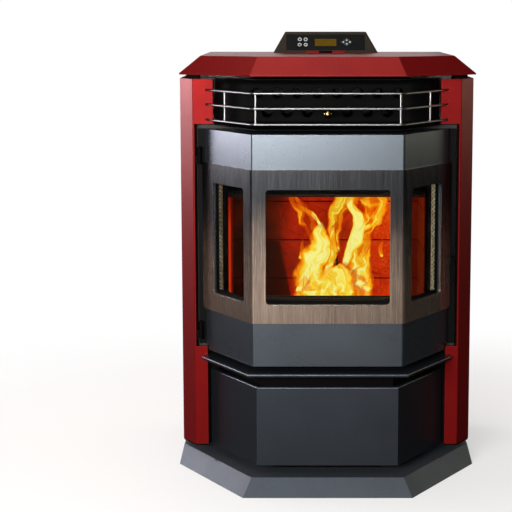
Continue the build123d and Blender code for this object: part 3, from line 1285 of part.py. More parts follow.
def make_knob():
    """Ball knob on the end of the scraper rod."""
    place = (0, KNOB_Y, TUBE_LOWER)
    return Pos(*place) * Sphere(KNOB_RADIUS) - bar(place, (0, 1, 0), KNOB_RADIUS + THROUGH, SCRAPER_ROD_RADIUS)


def grille_end(height, radius):
    """Straight end of a grille rod where it passes the front strip of the right panel."""
    turn = radians(BAY_ANGLE)
    start = (bay_half(ROD_RADIUS), ROD_RADIUS, height)
    length = (PANEL_FACE + ROD_END + 2 * PANEL_WALL - ROD_RADIUS) / sin(turn)
    return bar(start, (cos(turn), sin(turn), 0), length, radius)


def make_grille():
    """Three rods bent round the bay with four upright stays welded behind them."""
    shapes = []
    line = bay_to_depth(ROD_RADIUS, PANEL_FACE + ROD_END)
    for height in ROD_HEIGHTS:
        path = FilletPolyline(*[(x, y, height) for x, y in line], radius=ROD_BEND)
        section = Plane(origin=path @ 0, z_dir=path % 0) * Circle(ROD_RADIUS)
        shapes.append(sweep(section, path=path))
    low = ROD_HEIGHTS[0]
    rise = ROD_HEIGHTS[-1] - low
    outer_y = ROD_RADIUS + (STAY_OUTER - bay_half(ROD_RADIUS)) * BAY_TAN + STAY_STEP / cos(radians(BAY_ANGLE))
    for x, y in ((STAY_INNER, ROD_RADIUS + STAY_STEP), (STAY_OUTER, outer_y)):
        for side in (-1, 1):
            shapes.append(bar((side * x, y, low), (0, 0, 1), rise, STAY_RADIUS))
    return joined(shapes)


# ---------------------------------------------------------------- hopper and feed
def hopper_plates(line, wall):
    """Plates across the hopper below each stretch of a (y, z) line, with their wall to one side of it."""
    half = HOPPER_HALF - HOPPER_WALL
    return [slab_x([(y0, z0), (y1, z1), (y1 + wall, z1), (y0 + wall, z0)], -half, half)
            for (y0, z0), (y1, z1) in zip(line, line[1:])]


def funnel_corners(inset, half, front, back):
    """Plan of the funnel at one height, drawn in by an amount on every side."""
    return [(-half + inset, front + inset), (half - inset, front + inset), (half - inset, back - inset),
            (-half + inset, back - inset)]


def make_funnel():
    """Four sloping plates of the funnel, mitred at its corners."""
    heights = (HOPPER_FUNNEL_Z, NECK_TOP)
    plans = ((HOPPER_HALF, HOPPER_KNEE_Y, HOPPER_BACK), (THROAT_HALF, THROAT_FRONT, THROAT_BACK))
    outer = [funnel_corners(0, *plan) for plan in plans]
    inner = [funnel_corners(HOPPER_WALL, *plan) for plan in plans]
    plates = []
    for i in range(4):
        j = (i + 1) % 4
        ends = [Pos(0, 0, z) * make_face(Polyline(a[i], a[j], b[j], b[i], close=True))
                for z, a, b in zip(heights, outer, inner)]
        plates.append(loft(ends, ruled=True))
    return plates


def make_neck():
    """Plates from the funnel down onto the round feed tube, the cross ones in two halves."""
    inner = THROAT_HALF - HOPPER_WALL
    saddle = bar((0, AUGER_START, AUGER_Z), (0, 1, 0), AUGER_END - AUGER_START, AUGER_TUBE_RADIUS)
    plates = [block(inner, THROAT_HALF, THROAT_FRONT, THROAT_BACK, AUGER_Z, NECK_TOP)]
    plates.append(block(0, inner, THROAT_FRONT, THROAT_FRONT + HOPPER_WALL, AUGER_Z, NECK_TOP))
    plates.append(block(0, inner, THROAT_BACK - HOPPER_WALL, THROAT_BACK, AUGER_Z, NECK_TOP))
    plates = [plate - saddle for plate in plates]
    return plates + [mirrored(plate) for plate in plates]


def make_hopper():
    """Plates of the welded hopper, from the lid down to the auger tube."""
    front = [(HOPPER_FRONT, HOPPER_TOP), (HOPPER_FRONT, HOPPER_BEND_Z), (HOPPER_KNEE_Y, HOPPER_KNEE_Z),
             (HOPPER_KNEE_Y, HOPPER_FUNNEL_Z)]
    back = [(HOPPER_MOUTH_BACK, HOPPER_TOP), (HOPPER_MOUTH_BACK, HOPPER_BEND_Z),
            (HOPPER_BACK, HOPPER_KNEE_Z + HOPPER_SHOULDER), (HOPPER_BACK, HOPPER_FUNNEL_Z)]
    side = slab_x(front + back[::-1], HOPPER_HALF - HOPPER_WALL, HOPPER_HALF)
    return (hopper_plates(front, HOPPER_WALL) + hopper_plates(back, -HOPPER_WALL) + [side, mirrored(side)]
            + make_funnel() + make_neck())


def make_auger_tube():
    """Feed tube through the back of the firebox with the slot under the hopper."""
    inner = AUGER_TUBE_RADIUS - AUGER_TUBE_WALL
    tube = ring((0, AUGER_START, AUGER_Z), (0, 1, 0), AUGER_END - AUGER_START, AUGER_TUBE_RADIUS, inner)
    slot_half = THROAT_HALF - HOPPER_WALL
    slot = block(-slot_half, slot_half, THROAT_FRONT + HOPPER_WALL, THROAT_BACK - HOPPER_WALL,
                 AUGER_Z, AUGER_Z + AUGER_TUBE_RADIUS + THROUGH)
    start = (0, AUGER_END - AUGER_CAP, AUGER_Z)
    cap = ring(start, (0, 1, 0), AUGER_CAP, AUGER_TUBE_RADIUS, AUGER_SHAFT_RADIUS + RUNNING)
    half = AUGER_TUBE_RADIUS + THROUGH
    spout = block(-half, half, AUGER_START - THROUGH, AUGER_START + SPOUT_LENGTH, AUGER_Z - half,
                  AUGER_Z - SPOUT_DROP)
    return (tube - slot - spout) + cap


def make_auger_screw():
    """Shaft with a helical flight."""
    start = AUGER_START + AUGER_SETBACK
    end = AUGER_END - AUGER_CAP - AXIAL
    reach = AUGER_RADIUS - AUGER_SHAFT_RADIUS
    blade = Pos((AUGER_RADIUS + AUGER_SHAFT_RADIUS - THROUGH) / 2, 0) * Rectangle(reach + THROUGH, AUGER_FLIGHT)
    section = Circle(AUGER_SHAFT_RADIUS) + blade
    flight = Solid.extrude_linear_with_rotation(section.face(), (0, 0, 0), (0, 0, end - start),
                                                360.0 * AUGER_TURNS)
    plane = Plane(origin=(0, start, AUGER_Z), x_dir=(1, 0, 0), z_dir=(0, 1, 0))
    length = AUGER_END + AUGER_TAIL - end + THROUGH
    return plane * flight + bar((0, end - THROUGH, AUGER_Z), (0, 1, 0), length, AUGER_SHAFT_RADIUS)


def make_auger_motor():
    """Gear motor behind the feed tube: gearbox and motor can."""
    y0 = AUGER_END + AXIAL
    y1 = y0 + GEARBOX_LENGTH
    box = block(-GEARBOX_HALF, GEARBOX_HALF, y0, y1, AUGER_Z - GEARBOX_BELOW, AUGER_Z + GEARBOX_ABOVE)
    can = bar((0, y1, AUGER_Z + GEAR_OFFSET), (0, 1, 0), REAR_FRONT - MOTOR_CLEAR - y1, AUGER_MOTOR_RADIUS)
    start = (0, y0 - THROUGH, AUGER_Z)
    return (box + can) - bar(start, (0, 1, 0), 2 * AUGER_TAIL, AUGER_SHAFT_RADIUS + RUNNING)


# ---------------------------------------------------------------- blowers and pipes
def make_exhaust_drum():
    """Drum of the exhaust blower, open at the back, on its foot."""
    wall = BLOWER_WALL
    axis = (0, 1, 0)
    length = EXHAUST_BACK - wall - EXHAUST_FRONT
    drum = bar((EXHAUST_X, EXHAUST_FRONT, EXHAUST_Z), axis, length, EXHAUST_RADIUS)
    hollow = bar((EXHAUST_X, EXHAUST_FRONT + wall, EXHAUST_Z), axis, length, EXHAUST_RADIUS - wall)
    foot = block(EXHAUST_X - BLOWER_FOOT_HALF, EXHAUST_X + BLOWER_FOOT_HALF, EXHAUST_FRONT + BLOWER_FOOT_INSET,
                 EXHAUST_BACK - BLOWER_FOOT_INSET, BASE_PAN_TOP, EXHAUST_Z - EXHAUST_RADIUS + BLOWER_FOOT_INSET)
    start = (EXHAUST_X, EXHAUST_FRONT - THROUGH, EXHAUST_Z)
    shaft_hole = bar(start, axis, wall + 2 * THROUGH, MOTOR_SHAFT_RADIUS + RUNNING)
    return cut(drum + foot, [hollow, shaft_hole])


def flue_passage(x0, x1, low, back):
    """Gas way: in through the port, down the duct and back through its elbow."""
    wall = BLOWER_WALL
    gas = block(x0 + wall, x1 - wall, FIREBOX_BACK + wall, back - wall, low + wall, FIREBOX_HIGH - wall)
    gas = gas + block(x0 + PORT_INSET, x1 - PORT_INSET, FIREBOX_BACK - THROUGH, back - wall,
                      PORT_LOW, PORT_HIGH)
    return gas + block(x0 + wall, x1 - wall, FIREBOX_BACK + wall, EXHAUST_BACK - wall, low + wall,
                       low + ELBOW_HEIGHT - wall)


def make_exhaust_housing():
    """Drum and back plate of the exhaust blower, then the flue duct and its elbow behind the firebox."""
    axis = (0, 1, 0)
    x0 = EXHAUST_X - CHANNEL_HALF
    x1 = EXHAUST_X + CHANNEL_HALF
    low = EXHAUST_Z + EXHAUST_RADIUS - CHANNEL_LAP
    high = low + ELBOW_HEIGHT
    back = FIREBOX_BACK + CHANNEL_DEPTH
    gas = flue_passage(x0, x1, low, back)
    plate = ring((EXHAUST_X, EXHAUST_BACK - BLOWER_WALL, EXHAUST_Z), axis, BLOWER_WALL, EXHAUST_RADIUS,
                 FLUE_NECK - FLUE_WALL)
    duct = block(x0, x1, FIREBOX_BACK, back, high, FIREBOX_HIGH)
    elbow = block(x0, x1, FIREBOX_BACK, EXHAUST_BACK, low, high)
    elbow = elbow - bar((EXHAUST_X, EXHAUST_FRONT, EXHAUST_Z), axis, EXHAUST_DEPTH, EXHAUST_RADIUS)
    return [make_exhaust_drum() - gas, plate, duct - gas, elbow - gas]


def make_impeller():
    """Paddle wheel of the exhaust blower on its shaft."""
    y0 = EXHAUST_FRONT + BLOWER_WALL + IMPELLER_SETBACK
    axis = (0, 1, 0)
    disc = bar((EXHAUST_X, y0, EXHAUST_Z), axis, IMPELLER_DISC, IMPELLER_RADIUS)
    hub = bar((EXHAUST_X, y0, EXHAUST_Z), axis, IMPELLER_HUB, IMPELLER_HUB_RADIUS)
    start = EXHAUST_FRONT - SHAFT_TAIL
    wheel = disc + hub + bar((EXHAUST_X, start, EXHAUST_Z), axis, y0 - start + THROUGH, MOTOR_SHAFT_RADIUS)
    half = BLADE_WALL / 2
    blade = block(IMPELLER_HUB_RADIUS - half, IMPELLER_RADIUS - THROUGH, 0, BLADE_WIDTH, -half, half)
    for step in range(IMPELLER_BLADES):
        turned = Rot(0, 360.0 * step / IMPELLER_BLADES, 0) * blade
        wheel = wheel + Pos(EXHAUST_X, y0 + THROUGH, EXHAUST_Z) * turned
    return wheel


def make_motors():
    """Motor cans of the exhaust blower and the room air blower, each with a shaft bore."""
    start = FIREBOX_BACK + BLOWER_FOOT_INSET
    bore = MOTOR_SHAFT_RADIUS + RUNNING
    length = SHAFT_BORE + THROUGH
    exhaust = bar((EXHAUST_X, start, EXHAUST_Z), (0, 1, 0), EXHAUST_FRONT - start, MOTOR_RADIUS)
    exhaust = exhaust - bar((EXHAUST_X, EXHAUST_FRONT - SHAFT_BORE, EXHAUST_Z), (0, 1, 0), length, bore)
    x0 = ROOM_FAN_X + ROOM_FAN_WIDTH
    room = bar((x0, ROOM_FAN_Y, ROOM_FAN_Z), (1, 0, 0), ROOM_MOTOR_LENGTH, MOTOR_RADIUS)
    room = room - bar((x0 - THROUGH, ROOM_FAN_Y, ROOM_FAN_Z), (1, 0, 0), length, bore)
    return [exhaust, room]


def stepped_pipe(x, z, start, end, radius):
    """Pipe out through the rear panel, wider outside it, where the pipe or hose it takes slides on."""
    neck = radius - PIPE_STEP
    shoulder = BODY_BACK + PIPE_SHOULDER
    inside = ring((x, start, z), (0, 1, 0), shoulder - start, neck, neck - FLUE_WALL)
    return inside + ring((x, shoulder, z), (0, 1, 0), end - shoulder, radius, neck - FLUE_WALL)


def make_flue_stub():
    """Exhaust pipe from the blower through the rear panel."""
    return stepped_pipe(EXHAUST_X, EXHAUST_Z, EXHAUST_BACK, FLUE_END, FLUE_RADIUS)


def make_intake_pipe():
    """Combustion air pipe from outside to the burn pot support."""
    start = POT_BACK + POT_RIM - SUPPORT_WALL / 2
    return stepped_pipe(INTAKE_X, INTAKE_Z, start, INTAKE_END, INTAKE_RADIUS)


def make_room_fan_housing():
    """Drum of the room air blower with an inlet hole, an upward outlet and a foot."""
    wall = BLOWER_WALL
    x0 = ROOM_FAN_X
    x1 = ROOM_FAN_X + ROOM_FAN_WIDTH
    y0 = ROOM_FAN_Y - ROOM_FAN_RADIUS
    y1 = ROOM_FAN_Y - ROOM_FAN_CUT
    axis = (1, 0, 0)
    top = ROOM_FAN_Z + ROOM_FAN_RADIUS + ROOM_FAN_SNOUT
    drum = bar((x0, ROOM_FAN_Y, ROOM_FAN_Z), axis, ROOM_FAN_WIDTH, ROOM_FAN_RADIUS)
    snout = block(x0, x1, y0, y1, ROOM_FAN_Z, top)
    foot = block(x0 + ROOM_FOOT_INSET, x1 - ROOM_FOOT_INSET, ROOM_FAN_Y - ROOM_FOOT_HALF,
                 ROOM_FAN_Y + ROOM_FOOT_HALF, BASE_PAN_TOP, ROOM_FAN_Z - ROOM_FAN_RADIUS + ROOM_FAN_CUT)
    hollow = bar((x0 + wall, ROOM_FAN_Y, ROOM_FAN_Z), axis, ROOM_FAN_WIDTH - 2 * wall, ROOM_FAN_RADIUS - wall)
    bore = block(x0 + wall, x1 - wall, y0 + wall, y1 - wall, ROOM_FAN_Z, top + THROUGH)
    span = wall + 2 * THROUGH
    inlet = bar((x0 - THROUGH, ROOM_FAN_Y, ROOM_FAN_Z), axis, span, WHEEL_RADIUS - WHEEL_INLET_LAP)
    shaft_hole = bar((x1 - wall - THROUGH, ROOM_FAN_Y, ROOM_FAN_Z), axis, span, MOTOR_SHAFT_RADIUS + RUNNING)
    return cut(drum + snout + foot, [hollow, bore, inlet, shaft_hole])


def make_room_fan_wheel():
    """Squirrel cage wheel: back disc, blades, front ring and shaft."""
    x0 = ROOM_FAN_X + BLOWER_WALL + WHEEL_SIDE_GAP
    x1 = ROOM_FAN_X + ROOM_FAN_WIDTH - BLOWER_WALL - WHEEL_SIDE_GAP
    axis = (1, 0, 0)
    wheel = bar((x1 - WHEEL_DISC, ROOM_FAN_Y, ROOM_FAN_Z), axis, WHEEL_DISC, WHEEL_RADIUS)
    wheel = wheel + ring((x0, ROOM_FAN_Y, ROOM_FAN_Z), axis, WHEEL_RING, WHEEL_RADIUS,
                         WHEEL_RADIUS - WHEEL_RING_WIDTH)
    half = WHEEL_BLADE_WALL / 2
    top = WHEEL_RADIUS - half
    blade = block(x0, x1, -half, half, top - WHEEL_BLADE_WIDTH, top)
    for step in range(WHEEL_BLADES):
        wheel = wheel + Pos(0, ROOM_FAN_Y, ROOM_FAN_Z) * Rot(360.0 * step / WHEEL_BLADES, 0, 0) * blade
    start = x1 - 2 * WHEEL_DISC
    end = ROOM_FAN_X + ROOM_FAN_WIDTH + SHAFT_TAIL
    return wheel + bar((start, ROOM_FAN_Y, ROOM_FAN_Z), axis, end - start, MOTOR_SHAFT_RADIUS)


# ---------------------------------------------------------------- controls
def console_form(inset, low, high):
    """Solid of the console housing, drawn in by an amount, between two heights of its slopes."""
    def face(half, y0, y1, z):
        return Pos(0, (y0 + y1) / 2, z) * Rectangle(2 * (half - inset), y1 - y0 - 2 * inset)
    whole = loft([face(CONSOLE_HALF, CONSOLE_FRONT, CONSOLE_BACK, COVER_HIGH),
                  face(CONSOLE_TOP_HALF, CONSOLE_TOP_FRONT, CONSOLE_TOP_BACK, CONSOLE_HIGH)], ruled=True)
    big = 2 * CONSOLE_BACK
    return whole & block(-big, big, 0, big, low, high)


def face_tilt():
    """Angle of the console's front face from upright."""
    return atan((CONSOLE_TOP_FRONT - CONSOLE_FRONT) / (CONSOLE_HIGH - COVER_HIGH))


def console_plane():
    """Plane of the console's sloping face: x to the right, y up the slope, z outwards."""
    lean = face_tilt()
    return Plane(origin=(0, CONSOLE_FRONT, COVER_HIGH), x_dir=(1, 0, 0), z_dir=(0, -cos(lean), sin(lean)))


def face_height():
    """Length of the console's sloping face."""
    return sqrt((CONSOLE_TOP_FRONT - CONSOLE_FRONT) ** 2 + (CONSOLE_HIGH - COVER_HIGH) ** 2)


def key_places():
    """Local places of the round keys on the faceplate."""
    mid = face_height() / 2
    half = KEY_SPACING / 2
    return [(KEYS_X + sx * half, mid + sy * half) for sy in (1, -1) for sx in (-1, 1)]


def face_cutters(grow):
    """Cutters for keys, pad and display through the sloping face."""
    plane = console_plane()
    mid = face_height() / 2
    length = 4 * BOARD_DEPTH
    low = -length / 2
    cutters = [plane * (Pos(x, y, 0) * Cylinder(KEY_RADIUS + grow, length)) for x, y in key_places()]
    cutters.append(plane * (Pos(PAD_X, mid, low) * extrude(pad_outline(grow), amount=length)))
    screen = Rectangle(2 * (DISPLAY_HALF + grow), DISPLAY_HEIGHT + 2 * grow)
    cutters.append(plane * (Pos(0, mid, low) * extrude(screen, amount=length)))
    return cutters


def pad_outline(grow):
    """Diamond of the four-way pad, its edges moved out by an amount."""
    lean = atan(PAD_ASPECT)
    reach = PAD_HALF + grow / sin(lean)
    low = PAD_HALF * PAD_ASPECT + grow / cos(lean)
    return make_face(Polyline((-reach, 0), (0, -low), (reach, 0), (0, low), close=True))


def make_console_housing():
    """Hollow housing with a recess in its sloping face for the faceplate."""
    shell = console_form(0, COVER_HIGH, CONSOLE_HIGH)
    ridges = [edge for edge in shell.edges() if edge.bounding_box().size.Z > CONSOLE_RIDGE]
    shell = fillet(ridges, CONSOLE_RIDGE)
    rims = [edge for edge in shell.edges() if edge.center().Z > CONSOLE_HIGH - 0.1]
    shell = fillet(rims, CONSOLE_RIM)
    shell = shell - console_form(CONSOLE_WALL, COVER_HIGH, CONSOLE_HIGH - CONSOLE_WALL)
    recess = tile(console_plane(), -FACE_HALF, FACE_HALF, FACE_MARGIN, face_height() - FACE_MARGIN, FACE_WALL)
    return cut(shell - recess, face_cutters(OPENING_MARGIN))


def make_faceplate():
    """Plate in the housing's recess with openings for keys, pad and display."""
    half = FACE_HALF - FACE_PLAY
    low = FACE_MARGIN + FACE_PLAY
    plate = tile(console_plane(), -half, half, low, face_height() - low, FACE_WALL)
    return cut(plate, face_cutters(KEY_CLEARANCE))


def make_display():
    """Screen behind the faceplate opening, fixed to the control board."""
    mid = face_height() / 2
    half = DISPLAY_HEIGHT / 2
    plane = console_plane().offset(-DISPLAY_DROP)
    return tile(plane, -DISPLAY_HALF, DISPLAY_HALF, mid - half, mid + half, BOARD_DEPTH - DISPLAY_DROP)


def make_control_board():
    """Board behind the console face with the posts that hold it."""
    height = face_height()
    plane = console_plane()
    half = FACE_HALF - BOARD_INSET
    low = FACE_MARGIN + BOARD_EDGE
    board = tile(plane.offset(-BOARD_DEPTH), -half, half, low, height - low, BOARD_WALL)
    front = CONSOLE_WALL * cos(face_tilt()) + POST_PLAY
    for x in (-POST_X, POST_X):
        board = board + tile(plane.offset(-front), x - POST_HALF, x + POST_HALF, height / 2 - POST_HALF,
                             height / 2 + POST_HALF, BOARD_DEPTH - front)
    return board


def make_key(place):
    """Round key that stands proud of the faceplate."""
    stem = Cylinder(KEY_RADIUS, KEY_PROUD + KEY_STEM, align=(Align.CENTER, Align.CENTER, Align.MIN))
    return console_plane() * (Pos(place[0], place[1], -KEY_STEM) * stem)


def make_pad():
    """Four-way pad key with its diamond outline."""
    solid = extrude(pad_outline(0), amount=KEY_STEM + PAD_PROUD)
    return console_plane() * (Pos(PAD_X, face_height() / 2, -KEY_STEM) * solid)


def rear_box(z, half, half_height, y0, y1):
    """Block on the power inlet's upright middle line."""
    return block(INLET_X - half, INLET_X + half, y0, y1, z - half_height, z + half_height)


def make_power_inlet():
    """Three-pin inlet with its flange on the rear panel, and the frame of the mains switch."""
    y1 = BODY_BACK
    inner = INLET_HALF - INLET_WALL
    inner_height = INLET_HALF_HEIGHT - INLET_WALL
    inlet = rear_box(INLET_Z, INLET_HALF, INLET_HALF_HEIGHT, y1 - INLET_DEPTH, y1)
    inlet = inlet + rear_box(INLET_Z, INLET_FLANGE_HALF, INLET_FLANGE_HALF_HEIGHT, y1, y1 + INLET_FLANGE)
    inlet = inlet - rear_box(INLET_Z, inner, inner_height, y1 - INLET_RECESS, y1 + INLET_FLANGE + THROUGH)
    for x in (INLET_X - CONTACT_PITCH, INLET_X, INLET_X + CONTACT_PITCH):
        inlet = inlet + block(x - CONTACT_HALF, x + CONTACT_HALF, y1 - INLET_RECESS - THROUGH, y1,
                              INLET_Z - CONTACT_HALF_HEIGHT, INLET_Z + CONTACT_HALF_HEIGHT)
    inner = SWITCH_HALF - SWITCH_WALL
    inner_height = SWITCH_HALF_HEIGHT - SWITCH_WALL
    outer_height = SWITCH_HALF_HEIGHT + SWITCH_FLANGE
    frame = rear_box(SWITCH_Z, SWITCH_HALF, SWITCH_HALF_HEIGHT, y1 - SWITCH_DEPTH, y1)
    frame = frame + rear_box(SWITCH_Z, SWITCH_HALF + SWITCH_FLANGE, outer_height, y1, y1 + SWITCH_PLATE)
    frame = frame - rear_box(SWITCH_Z, inner, inner_height, y1 - SWITCH_RECESS, y1 + SWITCH_PLATE + THROUGH)
    return [inlet, frame]


def make_mains_switch():
    """Rocker of the mains switch: barrel and paddle."""
    y = BODY_BACK - THROUGH
    barrel = bar((INLET_X - ROCKER_HALF, y, SWITCH_Z), (1, 0, 0), 2 * ROCKER_HALF, ROCKER_RADIUS)
    return barrel + rear_box(SWITCH_Z, ROCKER_HALF, ROCKER_HALF_HEIGHT, y, y + ROCKER_PROUD)


def make_vacuum_switch():
    """Pressure switch disc on the left inner side plate with its two hose nipples."""
    x0 = -SIDE_HALF + SIDE_WALL
    x1 = x0 + SENSOR_LENGTH
    x2 = x1 + SENSOR_NECK
    axis = (1, 0, 0)
    body = bar((x0, SENSOR_Y, SENSOR_Z), axis, SENSOR_LENGTH, SENSOR_RADIUS)
    body = body + bar((x1, SENSOR_Y, SENSOR_Z), axis, SENSOR_NECK, SENSOR_NECK_RADIUS)
    for y in (SENSOR_Y - NIPPLE_OFFSET, SENSOR_Y + NIPPLE_OFFSET):
        body = body + bar((x2, y, SENSOR_Z), axis, NIPPLE_LENGTH, NIPPLE_RADIUS)
    return body


def make_screws():
    """Heads of the plinth screws and of the rear panel screws."""
    shapes = []
    for side in (-1, 1):
        x = side * (SIDE_HALF - PANEL_SCREW_INSET)
        shapes.append(bar((side * PLINTH_SCREW_X, PLINTH_SCREW_Y, PLINTH_HEIGHT), (0, 0, 1), SCREW_HEAD,
                          SCREW_RADIUS))
        for z in PANEL_SCREW_HEIGHTS:
            shapes.append(bar((x, BODY_BACK, z), (0, 1, 0), SCREW_HEAD, SCREW_RADIUS))
    return shapes


# ---------------------------------------------------------------- all pieces
def add(name, shapes):
    """Keep a named piece, as one shape or as a group of separate solids."""
    if not isinstance(shapes, list):
        shapes = [shapes]
    solids = []
    for shape in shapes:
        solids.extend(shape.solids())
    placed = [solid.moved(Location((0, -CENTRE_Y, 0))) for solid in solids]
    nodes[name] = placed[0] if len(placed) == 1 else Compound(children=placed)


def make_all():
    """Make every piece in order."""
    add("plinth", make_plinth())
    add("base_pan", make_base_pan())
    add("lower_front_frame", make_lower_front_frame())
    add("chassis_sides", make_chassis_sides())
    panel = make_side_panel()
    add("right_side_panel", panel)
    add("left_side_panel", mirrored(panel))
    add("rear_panel", make_rear_panel())
    add("top_deck", make_top_deck())
    add("top_cover", make_top_cover())
    add("lid_hinge_bracket", make_lid_bracket())
    add("hopper_lid", make_hopper_lid())
    add("hearth_shelf", make_hearth_shelf())
    add("outlet_duct", make_outlet_duct())
    add("outlet_grille", make_grille())
    add("heat_exchanger", [make_exchanger_box()] + make_exchanger_tubes())
    add("scraper_rod", make_scraper())
    add("scraper_knob", make_knob())
    add("firebox_frame", make_firebox_frame())
    add("firebox_body", make_firebox_body())
    add("firebricks", make_firebricks())
    add("baffle_plate", make_baffle())
    add("burn_pot_support", make_pot_support())
    add("burn_pot", make_burn_pot())
    add("igniter", make_igniter())
    add("door_shell", make_door_shell())
    add("door_trim_plate", make_trim_plate())
    add("door_glass", make_glass())
    add("glass_frames", make_glass_frames())
    add("door_seals", make_door_seals())
    add("door_fittings", make_door_knuckles() + [make_latch_pivot()])
    add("door_hinge_brackets", make_hinge_brackets())
    add("latch_lever", make_latch())
    add("drawer_front", make_drawer_front())
    add("drawer_tray", make_drawer_tray())
    add("ash_pan", make_ash_pan())
    add("drawer_runners", make_drawer_runners())
    add("hopper", make_hopper())
    add("auger_tube", make_auger_tube())
    add("auger_screw", make_auger_screw())
    add("auger_motor", make_auger_motor())
    add("exhaust_housing", make_exhaust_housing())
    add("exhaust_impeller", make_impeller())
    add("blower_motors", make_motors())
    add("flue_stub", make_flue_stub())
    add("air_intake_pipe", make_intake_pipe())
    add("room_fan_housing", make_room_fan_housing())
    add("room_fan_wheel", make_room_fan_wheel())
    add("console_housing", make_console_housing())
    add("console_faceplate", make_faceplate())
    add("console_display", make_display())
    add("control_board", make_control_board())
    for number, place in enumerate(key_places(), 1):
        add(f"round_key_{number}", make_key(place))
    add("four_way_pad", make_pad())
    add("power_inlet", make_power_inlet())
    add("mains_rocker", make_mains_switch())
    add("vacuum_switch", make_vacuum_switch())
    add("screws", make_screws())


make_all()
os.makedirs("parts", exist_ok=True)
for node_name, node in nodes.items():
    export_step(node, f"parts/{node_name}.step")
print(len(nodes), "pieces")
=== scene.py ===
"""Looks of a bay-front pellet stove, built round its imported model.

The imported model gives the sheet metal, the glass and the mechanism. This file gives each of its nodes a
finish, and adds what is made of fibre, fuel and fire: braided seals, pellets, flames, key legends and
screw heads. Lengths are metres in the frame of the stove: +X right, +Y back, +Z up.
"""
from __future__ import annotations

import json
import logging
import math
from dataclasses import dataclass
from enum import Enum
from typing import Any, Callable

import bmesh
import bpy
import numpy as np
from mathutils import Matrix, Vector

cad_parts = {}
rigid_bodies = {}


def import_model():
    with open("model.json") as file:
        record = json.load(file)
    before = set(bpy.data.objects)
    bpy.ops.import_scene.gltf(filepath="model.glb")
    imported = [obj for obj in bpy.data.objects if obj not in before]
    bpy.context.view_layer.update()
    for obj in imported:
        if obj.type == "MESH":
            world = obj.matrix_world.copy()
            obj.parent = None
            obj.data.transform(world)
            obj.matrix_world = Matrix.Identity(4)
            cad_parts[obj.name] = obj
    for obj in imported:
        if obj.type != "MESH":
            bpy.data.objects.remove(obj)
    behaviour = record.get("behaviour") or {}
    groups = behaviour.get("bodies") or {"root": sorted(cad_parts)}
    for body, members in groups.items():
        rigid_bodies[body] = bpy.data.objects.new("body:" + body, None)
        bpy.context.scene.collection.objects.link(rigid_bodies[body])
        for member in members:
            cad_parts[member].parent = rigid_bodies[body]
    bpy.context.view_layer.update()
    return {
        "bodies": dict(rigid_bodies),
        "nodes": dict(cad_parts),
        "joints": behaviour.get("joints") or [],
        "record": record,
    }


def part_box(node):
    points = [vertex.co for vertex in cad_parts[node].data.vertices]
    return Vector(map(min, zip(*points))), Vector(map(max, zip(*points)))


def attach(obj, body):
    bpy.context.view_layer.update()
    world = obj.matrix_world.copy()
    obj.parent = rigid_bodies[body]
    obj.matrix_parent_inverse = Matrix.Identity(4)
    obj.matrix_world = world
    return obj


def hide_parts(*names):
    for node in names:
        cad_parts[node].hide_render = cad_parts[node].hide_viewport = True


Socket = bpy.types.NodeSocket
Material = bpy.types.Material
Colour = tuple[float, float, float]
Point = tuple[float, float, float]
Path = tuple[np.ndarray, np.ndarray, np.ndarray]    # points, and the unit vectors of width and height there

LOG = logging.getLogger("stove")
TURN = 2 * math.pi
RIGHT, BACK, UP = (1.0, 0.0, 0.0), (0.0, 1.0, 0.0), (0.0, 0.0, 1.0)
WHITE, BLACK = (1.0, 1.0, 1.0), (0.0, 0.0, 0.0)
DOOR_FACE = -0.286           # Y of the front face of the door
RELIEF = 0.0002              # height of the fine relief of paint, plastic and metal
BURN_MAP = "Burn"            # map that holds the heat and the thickness of a flame
FLOW_MAP = "Flow"            # map that holds the place on a flame in widths and lengths of its threads


# ------------------------------------------------------------------------------------ surfaces
@dataclass
class Surface:
    """A grid of points, rows by columns, with two values at each point for every map that it has."""

    points: np.ndarray
    uv: np.ndarray | None = None       # place on the pattern
    burn: np.ndarray | None = None     # heat and thickness of the flame
    flow: np.ndarray | None = None     # place among the flame's threads
    closed_rows: bool = False
    closed_columns: bool = False
    capped: bool = False

    def faces(self, first: int) -> list[list[int]]:
        """Corner numbers of the faces.

        Args:
            first: number of the surface's first vertex in the whole mesh.

        Returns:
            One quad for each cell of the grid, and one face over each end if it is capped.
        """
        rows, columns = self.points.shape[:2]
        index = first + np.arange(rows * columns).reshape(rows, columns)
        down = np.roll(index, -1, axis=0) if self.closed_rows else index[1:]
        near = index if self.closed_rows else index[:-1]
        if self.closed_columns:
            quads = np.stack([near, np.roll(near, -1, axis=1), np.roll(down, -1, axis=1), down], axis=-1)
        else:
            quads = np.stack([near[:, :-1], near[:, 1:], down[:, 1:], down[:, :-1]], axis=-1)
        faces = quads.reshape(-1, 4).tolist()
        if self.capped:
            faces += [index[0, ::-1].tolist(), index[-1].tolist()]
        return faces


def add_object(name: str, data: bpy.types.ID) -> bpy.types.Object:
    """Put a mesh, a lamp or a camera in the scene.

    Args:
        name: name of the new object.
        data: what it shows.

    Returns:
        The object.
    """
    made = bpy.data.objects.new(name, data)
    bpy.context.scene.collection.objects.link(made)
    return made


